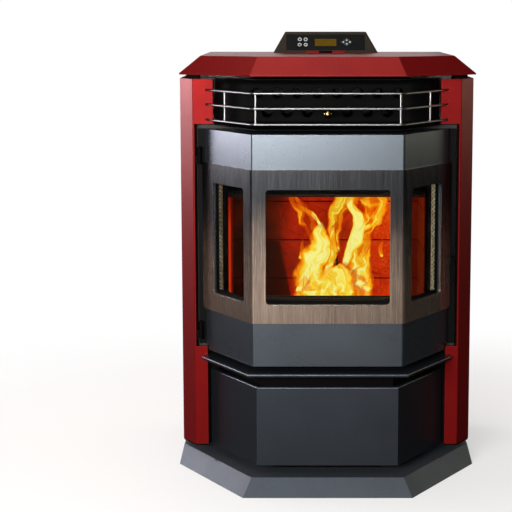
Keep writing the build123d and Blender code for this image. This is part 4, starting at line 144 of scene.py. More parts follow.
def make_mesh(name: str, surfaces: list[Surface], material: Material, smooth: bool = False) -> bpy.types.Object:
    """Put surfaces into one mesh object.

    Args:
        name: name of the object.
        surfaces: the grids that make it up.
        material: its finish.
        smooth: whether its faces are shaded smooth.

    Returns:
        The new object, with outward normals where its surfaces are closed.
    """
    faces: list[list[int]] = []
    first = 0
    for surface in surfaces:
        faces += surface.faces(first)
        first += surface.points.shape[0] * surface.points.shape[1]
    points = np.concatenate([surface.points.reshape(-1, 3) for surface in surfaces])
    mesh = bpy.data.meshes.new(name)
    mesh.from_pydata(points.tolist(), [], faces)
    vertices = np.zeros(len(mesh.loops), dtype=np.int32)
    mesh.loops.foreach_get("vertex_index", vertices)
    for layer, field in (("UVMap", "uv"), (BURN_MAP, "burn"), (FLOW_MAP, "flow")):
        maps = [getattr(surface, field) for surface in surfaces]
        if all(values is not None for values in maps):
            spots = np.concatenate([values.reshape(-1, 2) for values in maps])[vertices]
            mesh.uv_layers.new(name=layer).data.foreach_set("uv", spots.astype(np.float32).ravel())
    if all(surface.capped or surface.closed_rows for surface in surfaces):
        shell = bmesh.new()
        shell.from_mesh(mesh)
        bmesh.ops.recalc_face_normals(shell, faces=shell.faces)
        shell.to_mesh(mesh)
        shell.free()
    mesh.polygons.foreach_set("use_smooth", np.full(len(mesh.polygons), smooth))
    mesh.materials.append(material)
    mesh.update()
    return add_object(name, mesh)


def make_piece(name: str, surfaces: list[Surface], material: Material, body: str,
               smooth: bool = True) -> bpy.types.Object:
    """Make a piece of the stove, which rides on a body.

    Args:
        name: name of the piece.
        surfaces: the grids that make it up.
        material: its finish.
        body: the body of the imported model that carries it.
        smooth: whether its faces are shaded smooth.

    Returns:
        The new piece.
    """
    piece = make_mesh(name, surfaces, material, smooth)
    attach(piece, body)
    LOG.info("%s: %d faces on %s", name, len(piece.data.polygons), body)
    return piece


def unit(vectors: np.ndarray) -> np.ndarray:
    """Vectors of length one, in the directions of the given ones."""
    return vectors / np.linalg.norm(vectors, axis=-1, keepdims=True)


def around(count: int) -> np.ndarray:
    """Angles that lie evenly round a whole turn."""
    return np.linspace(0.0, TURN, count, endpoint=False)


def ahead_of(path: np.ndarray, closed: bool) -> np.ndarray:
    """Unit vectors along a path, from the point before each point to the one after it."""
    return unit(np.roll(path, -1, 0) - np.roll(path, 1, 0) if closed else np.gradient(path, axis=0))


def run_of(path: np.ndarray) -> np.ndarray:
    """Length run from the start of a path to each of its points."""
    return np.concatenate([[0.0], np.cumsum(np.linalg.norm(np.diff(path, axis=0), axis=1))])


def tube(path: np.ndarray, across: np.ndarray, over: np.ndarray, half_width: float, half_height: float,
         sides: int, closed: bool) -> Surface:
    """Carry an oval along a path.

    Each ring is path + half_width cos(a) across + half_height sin(a) over, for the angle a round it.

    Args:
        path: points along the middle line.
        across: unit vectors of the oval's width, one for each point.
        over: unit vectors of the oval's height.
        half_width: half the width of the oval.
        half_height: half its height.
        sides: points round the oval.
        closed: whether the path ends where it starts.

    Returns:
        The surface, capped at both ends if it isn't closed.
    """
    angle = around(sides)[None, :, None]
    wide = half_width * np.cos(angle) * across[:, None]
    high = half_height * np.sin(angle) * over[:, None]
    return Surface(path[:, None] + wide + high, closed_rows=closed, closed_columns=True, capped=not closed)


def flowing(knots: np.ndarray, count: int) -> np.ndarray:
    """Smooth line through knots.

    Between two knots it is the cubic that meets both of them, with a slope at each that is half the
    difference of its neighbours.

    Args:
        knots: one row of values for each knot.
        count: number of rows wanted.

    Returns:
        Rows that lie evenly between the first knot and the last.
    """
    spot = np.linspace(0.0, len(knots) - 1.0, count)
    start = np.minimum(spot.astype(int), len(knots) - 2)
    f = (spot - start)[:, None]
    slope = np.gradient(knots, axis=0)
    return ((2 * f ** 3 - 3 * f ** 2 + 1) * knots[start] + (f ** 3 - 2 * f ** 2 + f) * slope[start]
            + (3 * f ** 2 - 2 * f ** 3) * knots[start + 1] + (f ** 3 - f ** 2) * slope[start + 1])


def face_of(node: bpy.types.Object, normal: np.ndarray) -> np.ndarray:
    """Find the face of a node that lies furthest along a direction.

    Args:
        node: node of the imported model.
        normal: the direction.

    Returns:
        The middle of the box round the face's corners.
    """
    points = np.zeros(len(node.data.vertices) * 3, dtype=np.float32)
    node.data.vertices.foreach_get("co", points)
    points = points.reshape(-1, 3).astype(float)
    height = points @ normal
    top = points[height > height.max() - 0.0001]
    return (top.min(axis=0) + top.max(axis=0)) / 2


# ------------------------------------------------------------------------------------ node trees
def linear(colour: Colour) -> tuple[float, float, float, float]:
    """Undo the display curve in each channel of a colour.

    Args:
        colour: display colour.

    Returns:
        The scene-linear colour, and 1 for its cover.
    """
    low, knee, lift, power = 12.92, 0.04045, 0.055, 2.4
    values = [c / low if c <= knee else ((c + lift) / (1 + lift)) ** power for c in colour]
    return values[0], values[1], values[2], 1.0


class Field:
    """What a node puts out over a surface, with the sums that further nodes do on it."""

    def __init__(self, tree: Tree, socket: Socket) -> None:
        """Hold an output of a node."""
        self.tree = tree
        self.socket = socket

    def __add__(self, other: Field | float) -> Field:
        """Sum of two values."""
        return self.tree.math("ADD", self, other)

    def __sub__(self, other: Field | float) -> Field:
        """Difference of two values."""
        return self.tree.math("SUBTRACT", self, other)

    def __rsub__(self, number: float) -> Field:
        """Number less the value."""
        return self.tree.math("SUBTRACT", number, self)

    def __mul__(self, other: Field | float) -> Field:
        """Product of two values."""
        return self.tree.math("MULTIPLY", self, other)

    def __truediv__(self, other: Field | float) -> Field:
        """Quotient of two values."""
        return self.tree.math("DIVIDE", self, other)

    def __abs__(self) -> Field:
        """Value without its sign."""
        return self.tree.math("ABSOLUTE", self)

    def max(self, other: Field) -> Field:
        """Larger of two values."""
        return self.tree.math("MAXIMUM", self, other)

    def split(self) -> tuple[Field, ...]:
        """X, Y and Z of a vector."""
        return tuple(self.tree.node("SeparateXYZ", self).values())

    def spread(self, low: float, high: float, to_low: float = 0.0, to_high: float = 1.0,
               smooth: bool = True) -> Field:
        """Carry the value from one range to another, and hold it at its ends.

        Args:
            low: value that becomes to_low.
            high: value that becomes to_high, and may be less than low.
            to_low: result at low.
            to_high: result at high.
            smooth: whether it eases in and out.

        Returns:
            The result.
        """
        kind = "SMOOTHSTEP" if smooth else "LINEAR"
        return self.tree.node("MapRange", interpolation_type=kind, Value=self, From_Min=low, From_Max=high,
                              To_Min=to_low, To_Max=to_high)["Result"]

    def ramp(self, *stops: tuple[float, Colour]) -> Field:
        """Look the value up on a scale of colours.

        Args:
            stops: places on the scale, each with its display colour.

        Returns:
            The colour.
        """
        node = self.tree.new("ValToRGB", self)
        elements = node.color_ramp.elements
        while len(elements) < len(stops):
            elements.new(1.0)
        for element, (place, colour) in zip(elements, stops):
            element.position = place
            element.color = linear(colour)
        return self.tree.outputs(node)["Color"]


class Tree:
    """Short calls that place and join the nodes of one node tree."""

    def __init__(self, tree: bpy.types.NodeTree) -> None:
        """Work on a node tree."""
        self.tree = tree

    def feed(self, socket: Socket, value: Any) -> None:
        """Give a socket a value, or link it to what makes one.

        Args:
            socket: input of a node.
            value: plain value, field or output.
        """
        value = getattr(value, "socket", value)
        if isinstance(value, Socket):
            self.tree.links.new(value, socket)
        else:
            socket.default_value = value

    def new(self, kind: str, *values: Any, **given: Any) -> bpy.types.Node:
        """Place a node.

        Args:
            kind: its kind, without the word ShaderNode before it.
            values: what feeds its first inputs, in their order.
            given: its settings, in small letters, and then what feeds its inputs by their names, with a
                capital letter first and underscores for spaces.

        Returns:
            The node.
        """
        node = self.tree.nodes.new("ShaderNode" + kind)
        for key, value in given.items():
            if key[0].isupper():
                self.feed(node.inputs[key.replace("_", " ")], value)
            else:
                setattr(node, key, value)
        for socket, value in zip(node.inputs, values):
            self.feed(socket, value)
        return node

    def outputs(self, node: bpy.types.Node) -> dict[str, Field]:
        """Outputs of a node by their names."""
        return {socket.name: Field(self, socket) for socket in node.outputs if socket.enabled}

    def node(self, kind: str, *values: Any, **given: Any) -> dict[str, Field]:
        """Outputs of a new node."""
        return self.outputs(self.new(kind, *values, **given))

    def math(self, operation: str, a: Any, b: Any = 0.0, clamp: bool = False) -> Field:
        """Result of an operation on two values."""
        return self.node("Math", a, b, operation=operation, use_clamp=clamp)["Value"]

    def vector(self, operation: str, a: Any, b: Any = (0.0, 0.0, 0.0)) -> Field:
        """Vector or value that an operation makes of two vectors."""
        return next(iter(self.node("VectorMath", a, b, operation=operation).values()))

    def mix(self, factor: Any, a: Any, b: Any, blend: str = "MIX") -> Field:
        """Blend two colours.

        Args:
            factor: share of the second one.
            a: first colour, where three numbers are a display colour and four are scene-linear.
            b: second colour.
            blend: way of blending.

        Returns:
            The colour between them.
        """
        a, b = (linear(c) if isinstance(c, tuple) and len(c) == 3 else c for c in (a, b))
        return self.node("Mix", data_type="RGBA", blend_type=blend, Factor=factor, A=a, B=b)["Result"]

    def grey(self, value: Field) -> Field:
        """Grey of a value."""
        return self.node("CombineColor", value, value, value)["Color"]

    def noise(self, vector: Field, scale: float, detail: float = 2.0, rough: float = 0.5,
              stretch: Point | None = None) -> Field:
        """Soft random value over space.

        Args:
            vector: place in space or on a pattern.
            scale: waves in a unit of length.
            detail: number of finer layers.
            rough: strength of each layer beside the one before.
            stretch: scale along each axis.

        Returns:
            Values about a half.
        """
        if stretch:
            vector = self.vector("MULTIPLY", vector, stretch)
        return self.node("TexNoise", Vector=vector, Scale=scale, Detail=detail, Roughness=rough)["Fac"]

    def place(self) -> Field:
        """Place on the stove of the point that is shaded."""
        return self.node("TexCoord")["Object"]

    def pattern(self) -> Field:
        """Place on the piece's own pattern of the point that is shaded."""
        return self.node("TexCoord")["UV"]

    def bump(self, height: Field, depth: float, strength: float, **normal: Field) -> Field:
        """Normal that a height field of a depth in metres gives, over the flat one or the given Normal."""
        return self.node("Bump", Distance=depth, Strength=strength, Height=height, **normal)["Normal"]


class Coat(Tree):
    """Node tree of one material, with its Principled shader."""

    def __init__(self, name: str, **constants: Any) -> None:
        """Start a material.

        Args:
            name: name of the material.
            constants: values that are the same all over it, which are set on the shader's own sockets.
        """
        self.material = bpy.data.materials.new(name)
        self.material.use_nodes = True
        super().__init__(self.material.node_tree)
        self.shader = next(n for n in self.tree.nodes if n.type == "BSDF_PRINCIPLED")
        self.set(**constants)

    def set(self, **values: Any) -> Material:
        """Feed the shader.

        Args:
            values: what feeds its sockets, with underscores for spaces in their names.

        Returns:
            The material.
        """
        for key, value in values.items():
            self.feed(self.shader.inputs[key.replace("_", " ")], value)
        return self.material

    def group(self, tree: bpy.types.NodeTree, **values: Any) -> dict[str, Field]:
        """Outputs of a shared effect whose inputs are fed by name."""
        return self.node("Group", node_tree=tree, **values)

    def finish(self, colour: Field, rough: Field, height: Field, strength: float, normal: Field) -> Material:
        """Feed the shader a fine skin.

        Args:
            colour: its colour.
            rough: its roughness.
            height: height field of its relief.
            strength: strength of the relief.
            normal: normal of its rounded edges, over which the relief lies.

        Returns:
            The material.
        """
        relief = self.bump(height, RELIEF, strength, Normal=normal)
        return self.set(Base_Color=colour, Roughness=rough, Normal=relief)


class Effects:
    """Shared effects, each a node group that is built once.

    The method that builds one is given the group's tree and its inputs by name, and returns what feeds its
    outputs.
    """

    def __init__(self) -> None:
        """Build every group."""
        self.powder = self._group("powder_skin", {"Vector": None, "Grain": 900.0}, ("Height", "Tone"), self._powder)
        self.flakes = self._group("metal_flakes", {"Vector": None, "Size": 2400.0}, ("Mask",), self._flakes)
        self.brushed = self._group("brushed_grain", {"Vector": None}, ("Height", "Tone"), self._brushed)
        self.edges = self._group("rubbed_edges", {"Radius": 0.0008}, ("Normal", "Mask"), self._edges)
        self.soot = self._group("soot_clouds", {"Vector": None, "Amount": 0.5}, ("Mask",), self._soot)

    @staticmethod
    def _group(name: str, inputs: dict[str, float | None], outputs: tuple[str, ...],
               build: Callable[[Tree, dict[str, Field]], dict[str, Field]]) -> bpy.types.NodeTree:
        """Make a node group with named sockets.

        Args:
            name: name of the group.
            inputs: input names with their defaults, where None is a vector.
            outputs: output names. Normal is a vector and the rest are values.
            build: makes the nodes from the tree and the inputs, and returns what feeds each output.

        Returns:
            The group's node tree.
        """
        tree = bpy.data.node_groups.new(name, "ShaderNodeTree")
        for key, default in inputs.items():
            kind = "NodeSocketVector" if default is None else "NodeSocketFloat"
            socket = tree.interface.new_socket(key, in_out="INPUT", socket_type=kind)
            if default is not None:
                socket.default_value = default
        for key in outputs:
            kind = "NodeSocketVector" if key == "Normal" else "NodeSocketFloat"
            tree.interface.new_socket(key, in_out="OUTPUT", socket_type=kind)
        bench = Tree(tree)
        made = build(bench, bench.outputs(tree.nodes.new("NodeGroupInput")))
        out = tree.nodes.new("NodeGroupOutput")
        for key, value in made.items():
            bench.feed(out.inputs[key], value)
        return tree

    @staticmethod
    def _powder(bench: Tree, given: dict[str, Field]) -> dict[str, Field]:
        """Orange peel of sprayed paint, and slow drifts of tone."""
        place = given["Vector"]
        fine = bench.node("TexNoise", Vector=place, Scale=given["Grain"], Detail=3.0)
        tone = bench.noise(place, 9.0, 4.0, 0.6) * 0.6 + bench.noise(place, 420.0, 2.0, 0.6) * 0.4
        return {"Height": fine["Fac"], "Tone": tone}

    @staticmethod
    def _flakes(bench: Tree, given: dict[str, Field]) -> dict[str, Field]:
        """Bright dots: cells of a fine random mosaic whose number is high."""
        cells = bench.node("TexVoronoi", Vector=given["Vector"], Scale=given["Size"])
        return {"Mask": bench.node("SeparateColor", cells["Color"])["Red"].spread(0.55, 1.0)}

    @staticmethod
    def _brushed(bench: Tree, given: dict[str, Field]) -> dict[str, Field]:
        """Upright hairlines: noise drawn out along Z, at two widths."""
        fine = bench.noise(given["Vector"], 1.0, 3.0, 0.65, (2300.0, 2300.0, 14.0))
        wide = bench.noise(given["Vector"], 1.0, 2.0, 0.5, (330.0, 330.0, 3.0))
        return {"Height": fine, "Tone": fine * 0.8 + wide * 0.2}

    @staticmethod
    def _edges(bench: Tree, given: dict[str, Field]) -> dict[str, Field]:
        """Rounded normal near edges, and a mask where it leaves the flat one, along which the finishes paint a
        highlight.
        """
        bevel = bench.node("Bevel", samples=4, Radius=given["Radius"])["Normal"]
        match = bench.vector("DOT_PRODUCT", bevel, bench.node("NewGeometry")["Normal"])
        return {"Normal": bevel, "Mask": match.spread(0.998, 0.93)}

    @staticmethod
    def _soot(bench: Tree, given: dict[str, Field]) -> dict[str, Field]:
        """Clouds of soot and ash: the share covered grows with the amount."""
        rise = bench.noise(given["Vector"], 14.0, 6.0, 0.65) - (1.0 - given["Amount"]) * 0.75
        return {"Mask": bench.math("MULTIPLY", rise, 3.0, clamp=True)}


# ------------------------------------------------------------------------------------ finishes
@dataclass(frozen=True)
class Finish:
    """A finish of the stove."""

    name: str

    def material(self, effects: Effects) -> Material:
        """Build the finish.

        Args:
            effects: the shared effects that it may use.

        Returns:
            Its material, under the finish's name.
        """
        raise NotImplementedError


@dataclass(frozen=True)
class PaintFinish(Finish):
    """Sprayed paint: tone drift, flakes, orange peel, a painted highlight along its edges, and painted shade behind
    a given Y.
    """

    base: Colour
    drift: Colour
    edge: Colour
    flake: Colour
    metallic: float = 0.3
    roughness: float = 0.4
    flake_share: float = 0.2
    peel: float = 0.12
    edge_highlight_share: float = 0.5
    edge_radius: float = 0.0008
    specular: float = 0.5
    shade_from: float = 9.0      # Y from which the paint turns near black: painted shade in the recess behind the door's edge

    def material(self, effects: Effects) -> Material:
        """Build the paint."""
        coat = Coat(self.name, Metallic=self.metallic, Specular_IOR_Level=self.specular)
        place = coat.place()
        skin = coat.group(effects.powder, Vector=place)
        flakes = coat.group(effects.flakes, Vector=place)
        edges = coat.group(effects.edges, Radius=self.edge_radius)
        colour = coat.mix(skin["Tone"].spread(0.3, 0.7), self.base, self.drift)
        colour = coat.mix(flakes["Mask"] * self.flake_share, colour, self.flake)
        # Painted highlight along the edges.
        colour = coat.mix(edges["Mask"] * self.edge_highlight_share, colour, self.edge)
        # Painted shade: behind the given Y the colour turns near black and rougher, for the shaded recess at the
        # door's back flange.
        behind = place.split()[1].spread(self.shade_from, self.shade_from + 0.001)
        colour = coat.mix(behind, colour, (0.03, 0.03, 0.032))
        rough = skin["Tone"].spread(0.2, 0.8, self.roughness - 0.04, self.roughness + 0.05) + behind * 0.3
        return coat.finish(colour, rough, skin["Height"], self.peel, edges["Normal"])


@dataclass(frozen=True)
class MetalFinish(Finish):
    """Bare or plated metal with a slow stain, and a painted highlight along its edges."""

    base: Colour
    stain: Colour
    roughness: float = 0.3
    spangle: float = 0.0         # share of the crystal pattern of a zinc coat
    grain: float = 0.1
    metallic: float = 1.0
    stain_share: float = 0.4
    edge_highlight_share: float = 0.35

    def material(self, effects: Effects) -> Material:
        """Build the metal."""
        coat = Coat(self.name, Metallic=self.metallic)
        place = coat.place()
        soot = coat.group(effects.soot, Vector=place, Amount=self.stain_share)
        edges = coat.group(effects.edges, Radius=0.0005)
        skin = coat.group(effects.powder, Vector=place, Grain=1500.0)
        colour = coat.mix(soot["Mask"], self.base, self.stain)
        if self.spangle:
            cells = coat.node("TexVoronoi", Vector=coat.vector("ADD", place, (0.3, 0.1, 0.2)), Scale=120.0)
            tint = coat.node("HueSaturation", Saturation=0.0, Color=cells["Color"])
            colour = coat.mix(self.spangle, colour, tint["Color"], "OVERLAY")
        # Painted highlight along the edges.
        colour = coat.mix(edges["Mask"] * self.edge_highlight_share, colour, (0.85, 0.85, 0.85))
        rough = skin["Tone"].spread(0.25, 0.75, self.roughness - 0.06, self.roughness + 0.1)
        return coat.finish(colour, rough, skin["Height"], self.grain, edges["Normal"])


@dataclass(frozen=True)
class BrushedFinish(Finish):
    """Brushed plate with an upright grain, and a painted reflection that is dark blue-grey at its top and turns
    warmer towards its foot.
    """

    high: Colour
    low: Colour
    high_z: float
    low_z: float
    roughness: float

    def material(self, effects: Effects) -> Material:
        """Build the plate: the colour goes from the lower to the upper one over the height, as a painted
        reflection.
        """
        coat = Coat(self.name, Metallic=0.9)
        place = coat.place()
        grain = coat.group(effects.brushed, Vector=place)
        edges = coat.group(effects.edges, Radius=0.0007)
        cloud = coat.noise(place, 16.0, 3.0, 0.5).spread(0.3, 0.7, -0.015, 0.015)
        # Painted reflection: warm at low_z, dark blue-grey at high_z.
        colour = coat.mix((place.split()[2] + cloud).spread(self.low_z, self.high_z), self.low, self.high)
        colour = coat.mix(1.0, colour, coat.grey(grain["Tone"].spread(0.3, 0.7, 0.86, 1.12)), "MULTIPLY")
        # Painted highlight along the edges.
        colour = coat.mix(edges["Mask"] * 0.75, colour, (0.83, 0.80, 0.76))
        rough = grain["Tone"].spread(0.25, 0.75, self.roughness - 0.06, self.roughness + 0.08)
        return coat.finish(colour, rough, grain["Height"], 0.09, edges["Normal"])


@dataclass(frozen=True)
class MouldedFinish(Finish):
    """Moulded plastic with a fine spark texture."""

    base: Colour
    drift: Colour
    roughness: float = 0.45
    texture: float = 0.15
    specular: float = 0.5
    edge_highlight_share: float = 0.25
    edge_highlight_lift: float = 0.22      # how much paler than the base the painted edge highlight is

    def material(self, effects: Effects) -> Material:
        """Build the plastic."""
        coat = Coat(self.name, Specular_IOR_Level=self.specular)
        skin = coat.group(effects.powder, Vector=coat.place(), Grain=1800.0)
        edges = coat.group(effects.edges, Radius=0.0006)
        colour = coat.mix(skin["Tone"].spread(0.3, 0.7), self.base, self.drift)
        # Painted highlight along the edges: a paler copy of the base.
        pale = tuple(min(1.0, c + self.edge_highlight_lift) for c in self.base)
        colour = coat.mix(edges["Mask"] * self.edge_highlight_share, colour, pale)
        rough = skin["Tone"].spread(0.25, 0.75, self.roughness - 0.05, self.roughness + 0.08)
        return coat.finish(colour, rough, skin["Height"], self.texture, edges["Normal"])


@dataclass(frozen=True)
class BrickFinish(Finish):
    """Fire brick with painted firelight and a painted shadow of the left wall, dark bed joints and cracks, and
    soot.
    """

    clay: Colour
    strength: float
    joint_low: float             # Z of the lowest bed joint
    course: float                # height of a course of bricks
    left_wall: float = -0.1975   # X of the left wall's face
    back_wall: float = 0.096     # Y just before the back wall's face
    shadow_slant: float = 0.216  # how far the shadow's edge leans to the left over a metre of height
    shadow_top: float = 0.456    # Z of the joint under which the shadow lies

    def material(self, effects: Effects) -> Material:
        """Build the brick: clay with painted firelight, dark in its joints and cracks."""
        coat = Coat(self.name, Roughness=0.9, Emission_Strength=self.strength, Specular_IOR_Level=0.1)
        place = coat.place()
        across, back, height = place.split()
        soot = coat.group(effects.soot, Vector=place, Amount=0.45)
        speck = coat.noise(place, 260.0, 4.0, 0.7)
        cloud = coat.noise(place, 22.0, 4.0, 0.6).spread(0.3, 0.7, -0.07, 0.07)
        behind = self._back_wall_firelight(across, height, cloud) * speck.spread(0.3, 0.75, 0.78, 1.12)
        behind = behind * across.spread(0.15, 0.18, 1.0, 0.25) * self._shadow(across, height)
        # The glow is painted firelight, given as emission, and the slanting shadow is painted shadow.
        glow = behind.max(self._left_wall_firelight(across, back, height) + cloud * 0.5).ramp(
            (0.0, (0.02, 0.0, 0.0)), (0.25, (0.32, 0.02, 0.0)), (0.5, (0.62, 0.085, 0.01)),
            (0.75, (0.82, 0.20, 0.03)), (1.0, (0.94, 0.42, 0.08)))
        dark = self._cracks(coat, place).max(self._beds(coat, height))
        colour = coat.mix(soot["Mask"], self.clay, (0.12, 0.09, 0.07))
        return coat.set(Base_Color=coat.mix(dark, colour, (0.05, 0.03, 0.02)),
                        Emission_Color=coat.mix(dark, glow, (0.10, 0.005, 0.0)),
                        Normal=coat.bump(speck, 0.001, 0.5))

    @staticmethod
    def _back_wall_firelight(across: Field, height: Field, cloud: Field) -> Field:
        """Painted firelight on the back wall, which grows to the right, and most of all behind the top of the
        flames.

        Args:
            across: X.
            height: Z.
            cloud: slow drift of the glow.

        Returns:
            The painted firelight there.
        """
        near = across.spread(-0.145, -0.06, 0.03, 0.50) + cloud + across.spread(0.0, 0.13, 0.0, 0.22)
        return near + height.spread(0.44, 0.55) * across.spread(0.02, 0.12, 0.0, 0.22)

    def _left_wall_firelight(self, across: Field, back: Field, height: Field) -> Field:
        """Painted firelight on the left wall, which grows to the front and fades a little to the top.

        Args:
            across: X.
            back: Y.
            height: Z.

        Returns:
            The painted firelight there, and nothing on the other walls.
        """
        left = across.spread(self.left_wall, self.left_wall - 0.0015)
        wall = left * back.spread(self.back_wall + 0.001, self.back_wall - 0.001)
        return wall * back.spread(0.04, -0.06, 0.22, 0.70) * height.spread(0.58, 0.50, 0.55, 1.0)

    def _shadow(self, across: Field, height: Field) -> Field:
        """Share of the glow left in the slanting shadow at the left, under the middle bed joint."""
        lit = (across + height * self.shadow_slant).spread(-0.008, 0.0, 0.22, 1.0)
        return lit.max(height.spread(self.shadow_top - 0.002, self.shadow_top + 0.002))

    def _beds(self, coat: Coat, height: Field) -> Field:
        """Mask of the bed joints, one course apart."""
        row = (height - self.joint_low) / self.course
        return abs(row - coat.math("ROUND", row)).spread(0.022, 0.010)

    @staticmethod
    def _cracks(coat: Coat, place: Field) -> Field:
        """Mask of hairline cracks: thin borders of large random cells."""
        place = coat.vector("ADD", place, (0.07, 0.0, 0.033))
        cells = coat.node("TexVoronoi", feature="DISTANCE_TO_EDGE", Vector=place, Scale=9.0)
        return cells["Distance"].spread(0.0, 0.010, 0.5, 0.0)


@dataclass(frozen=True)
class GlassFinish(Finish):
    """Clear heat-proof glass with a breath of soot in clouds over it."""

    tint: Colour

    def material(self, effects: Effects) -> Material:
        """Build the glass: it keeps a plain Transmission Weight, and only its roughness and tint vary."""
        coat = Coat(self.name, Transmission_Weight=1.0, IOR=1.12)
        soot = coat.group(effects.soot, Vector=coat.place(), Amount=0.35)["Mask"]
        colour = coat.mix(soot, self.tint, tuple(0.93 * c for c in self.tint))
        return coat.set(Base_Color=colour, Roughness=soot.spread(0.0, 1.0, 0.0, 0.03))


@dataclass(frozen=True)
class FibreFinish(Finish):
    """Braided mineral fibre: fine threads along each strand and a fleck of dirt.

    The glow stands for the light that reaches a rope through its window, most of it on the right.
    """

    base: Colour
    deep: Colour
    glow: float = 0.0

    def material(self, effects: Effects) -> Material:
        """Build the fibre: the threads run along the strand's own pattern, with painted shade at its two borders,
        where strands meet.
        """
        coat = Coat(self.name, Roughness=0.75, Sheen_Weight=0.3, Sheen_Roughness=0.5)
        pattern, place = coat.pattern(), coat.place()
        threads = coat.noise(pattern, 1.0, 2.0, 0.5, (26.0, 400.0, 1.0))
        tone = threads * 0.55 + coat.noise(place, 180.0, 4.0, 0.6) * 0.45
        colour = coat.mix(tone.spread(0.36, 0.62), self.deep, self.base)
        soot = coat.group(effects.soot, Vector=place, Amount=0.4)
        colour = coat.mix(soot["Mask"] * 0.4, colour, (0.16, 0.15, 0.11))
        # Painted shade in the creases between strands: dark at both borders of each strand.
        wave = coat.math("COSINE", pattern.split()[1] * (10.0 * math.pi))
        colour = coat.mix(1.0, colour, coat.grey(abs(wave).spread(0.45, 0.95, 1.0, 0.08)), "MULTIPLY")
        lit = place.split()[0].spread(-0.1, 0.1, 0.12 * self.glow, self.glow)
        return coat.set(Base_Color=colour, Normal=coat.bump(threads, 0.0004, 0.6), Emission_Color=colour,
                        Emission_Strength=lit)


@dataclass(frozen=True)
class FlameFinish(Finish):
    """Fire: pale yellow threads in a yellow body, orange to its edge, clear at the rim."""

    strength: float

    def material(self, _effects: Effects) -> Material:
        """Build the flame on the sheet's own maps.

        They give the place across and up the sheet, its heat and thickness, and the place among its threads.
        """
        coat = Coat(self.name, Roughness=1.0, Emission_Strength=self.strength, Specular_IOR_Level=0.0)
        across, up, _ = coat.pattern().split()
        heat, veil, _ = coat.node("UVMap", uv_map=BURN_MAP)["UV"].split()
        beside, along, _ = coat.node("UVMap", uv_map=FLOW_MAP)["UV"].split()
        place = coat.place()
        bend = coat.noise(place, 26.0, 2.0, 0.5).spread(0.25, 0.75, -0.16, 0.16, smooth=False)
        bend = bend * up.spread(0.0, 0.3, 0.35, 1.0)
        ragged = coat.noise(place, 80.0, 2.0, 0.5, (1.0, 1.0, 0.45)).spread(0.25, 0.75, -0.04, 0.04, smooth=False)
        offset = abs(across - 0.5 + bend + ragged)
        own = heat * 9.0 + veil * 17.0
        flow = coat.node("CombineXYZ", beside + bend * 5.0, along, own)["Vector"]
        broad = coat.noise(flow, 1.0, 1.0, 0.4, (0.52, 0.62, 0.15))
        narrow = coat.noise(flow, 1.0, 2.0, 0.45, (1.15, 0.75, 0.2))
        body = offset.spread(0.5, 0.2)
        thread = self._ridge(broad, 0.05) * 0.24 + self._ridge(narrow, 0.06) * 0.16
        drift = broad.spread(0.32, 0.68, -0.24, 0.16) + narrow.spread(0.3, 0.7, -0.18, 0.10)
        colour = (heat + drift + (body + -1.0) * 0.45 + thread * body).ramp(
            (0.0, (0.66, 0.12, 0.0)), (0.2, (0.92, 0.34, 0.01)), (0.4, (1.0, 0.55, 0.03)),
            (0.6, (1.0, 0.76, 0.13)), (0.8, (1.0, 0.89, 0.28)), (1.0, (1.0, 0.98, 0.58)))
        ends = up.spread(1.0, 0.82) * up.spread(0.0, 0.06)
        thick = coat.math("ADD", veil, drift * 0.8 + (thread + 0.16), clamp=True)
        alpha = offset.spread(0.5, 0.38) * ends * thick
        return coat.set(Base_Color=linear(BLACK), Emission_Color=colour, Alpha=alpha)

    @staticmethod
    def _ridge(noise: Field, width: float) -> Field:
        """Thin lines where a noise crosses its middle value."""
        return abs(noise - 0.5).spread(width, 0.0)


@dataclass(frozen=True)
class EmberFinish(Finish):
    """Burning wood pellets: char with glowing cracks."""

    strength: float

    def material(self, _effects: Effects) -> Material:
        """Build the embers: noise decides where the char is thin enough to glow."""
        coat = Coat(self.name, Roughness=0.95, Emission_Strength=self.strength)
        heat = coat.noise(coat.place(), 140.0, 4.0, 0.65)
        glow = heat.spread(0.35, 0.7).ramp((0.0, (0.12, 0.01, 0.0)), (0.4, (0.85, 0.18, 0.02)),
                                           (0.8, (1.0, 0.55, 0.08)), (1.0, (1.0, 0.85, 0.4)))
        colour = coat.mix(heat.spread(0.4, 0.6), (0.06, 0.05, 0.05), (0.42, 0.36, 0.30))
        return coat.set(Base_Color=colour, Emission_Color=glow, Normal=coat.bump(heat, 0.001, 0.6))


@dataclass(frozen=True)
class ScreenFinish(Finish):
    """Character display: amber panel with a faint grid of cells."""

    glass: Colour
    cell: Colour
    column_pitch: float = 0.0029
    row_pitch: float = 0.0074

    def material(self, _effects: Effects) -> Material:
        """Build the screen: fine lines at a fixed pitch along X and up the slope."""
        coat = Coat(self.name, Roughness=0.25, Emission_Strength=0.08, Specular_IOR_Level=0.2)
        place = coat.place()
        across, _, up = place.split()
        columns, rows = (abs(coat.math("FRACT", value / pitch) - 0.5).spread(0.40, 0.46)
                         for value, pitch in ((across, self.column_pitch), (up, self.row_pitch)))
        colour = coat.mix(columns.max(rows) * 0.5, self.glass, self.cell)
        colour = coat.mix(coat.noise(place, 60.0).spread(0.3, 0.7, 0.0, 0.25), colour, self.cell)
        return coat.set(Base_Color=colour, Emission_Color=colour)


# Base, drift, edge highlight and flake colours of the dark paint: of the door, and darker copies of it for the
# plinth and for the drawer, which paint in the shade of the lower parts.
DARK_TONES = ((0.32, 0.345, 0.375), (0.295, 0.32, 0.35), (0.62, 0.66, 0.70), (0.46, 0.49, 0.54))
FOOT_SHADED_TONES = ((0.28, 0.305, 0.335), (0.26, 0.28, 0.31), (0.56, 0.60, 0.64), (0.42, 0.45, 0.50))
LOW_SHADED_TONES = ((0.235, 0.255, 0.285), (0.215, 0.235, 0.265), (0.50, 0.53, 0.57), (0.36, 0.39, 0.44))


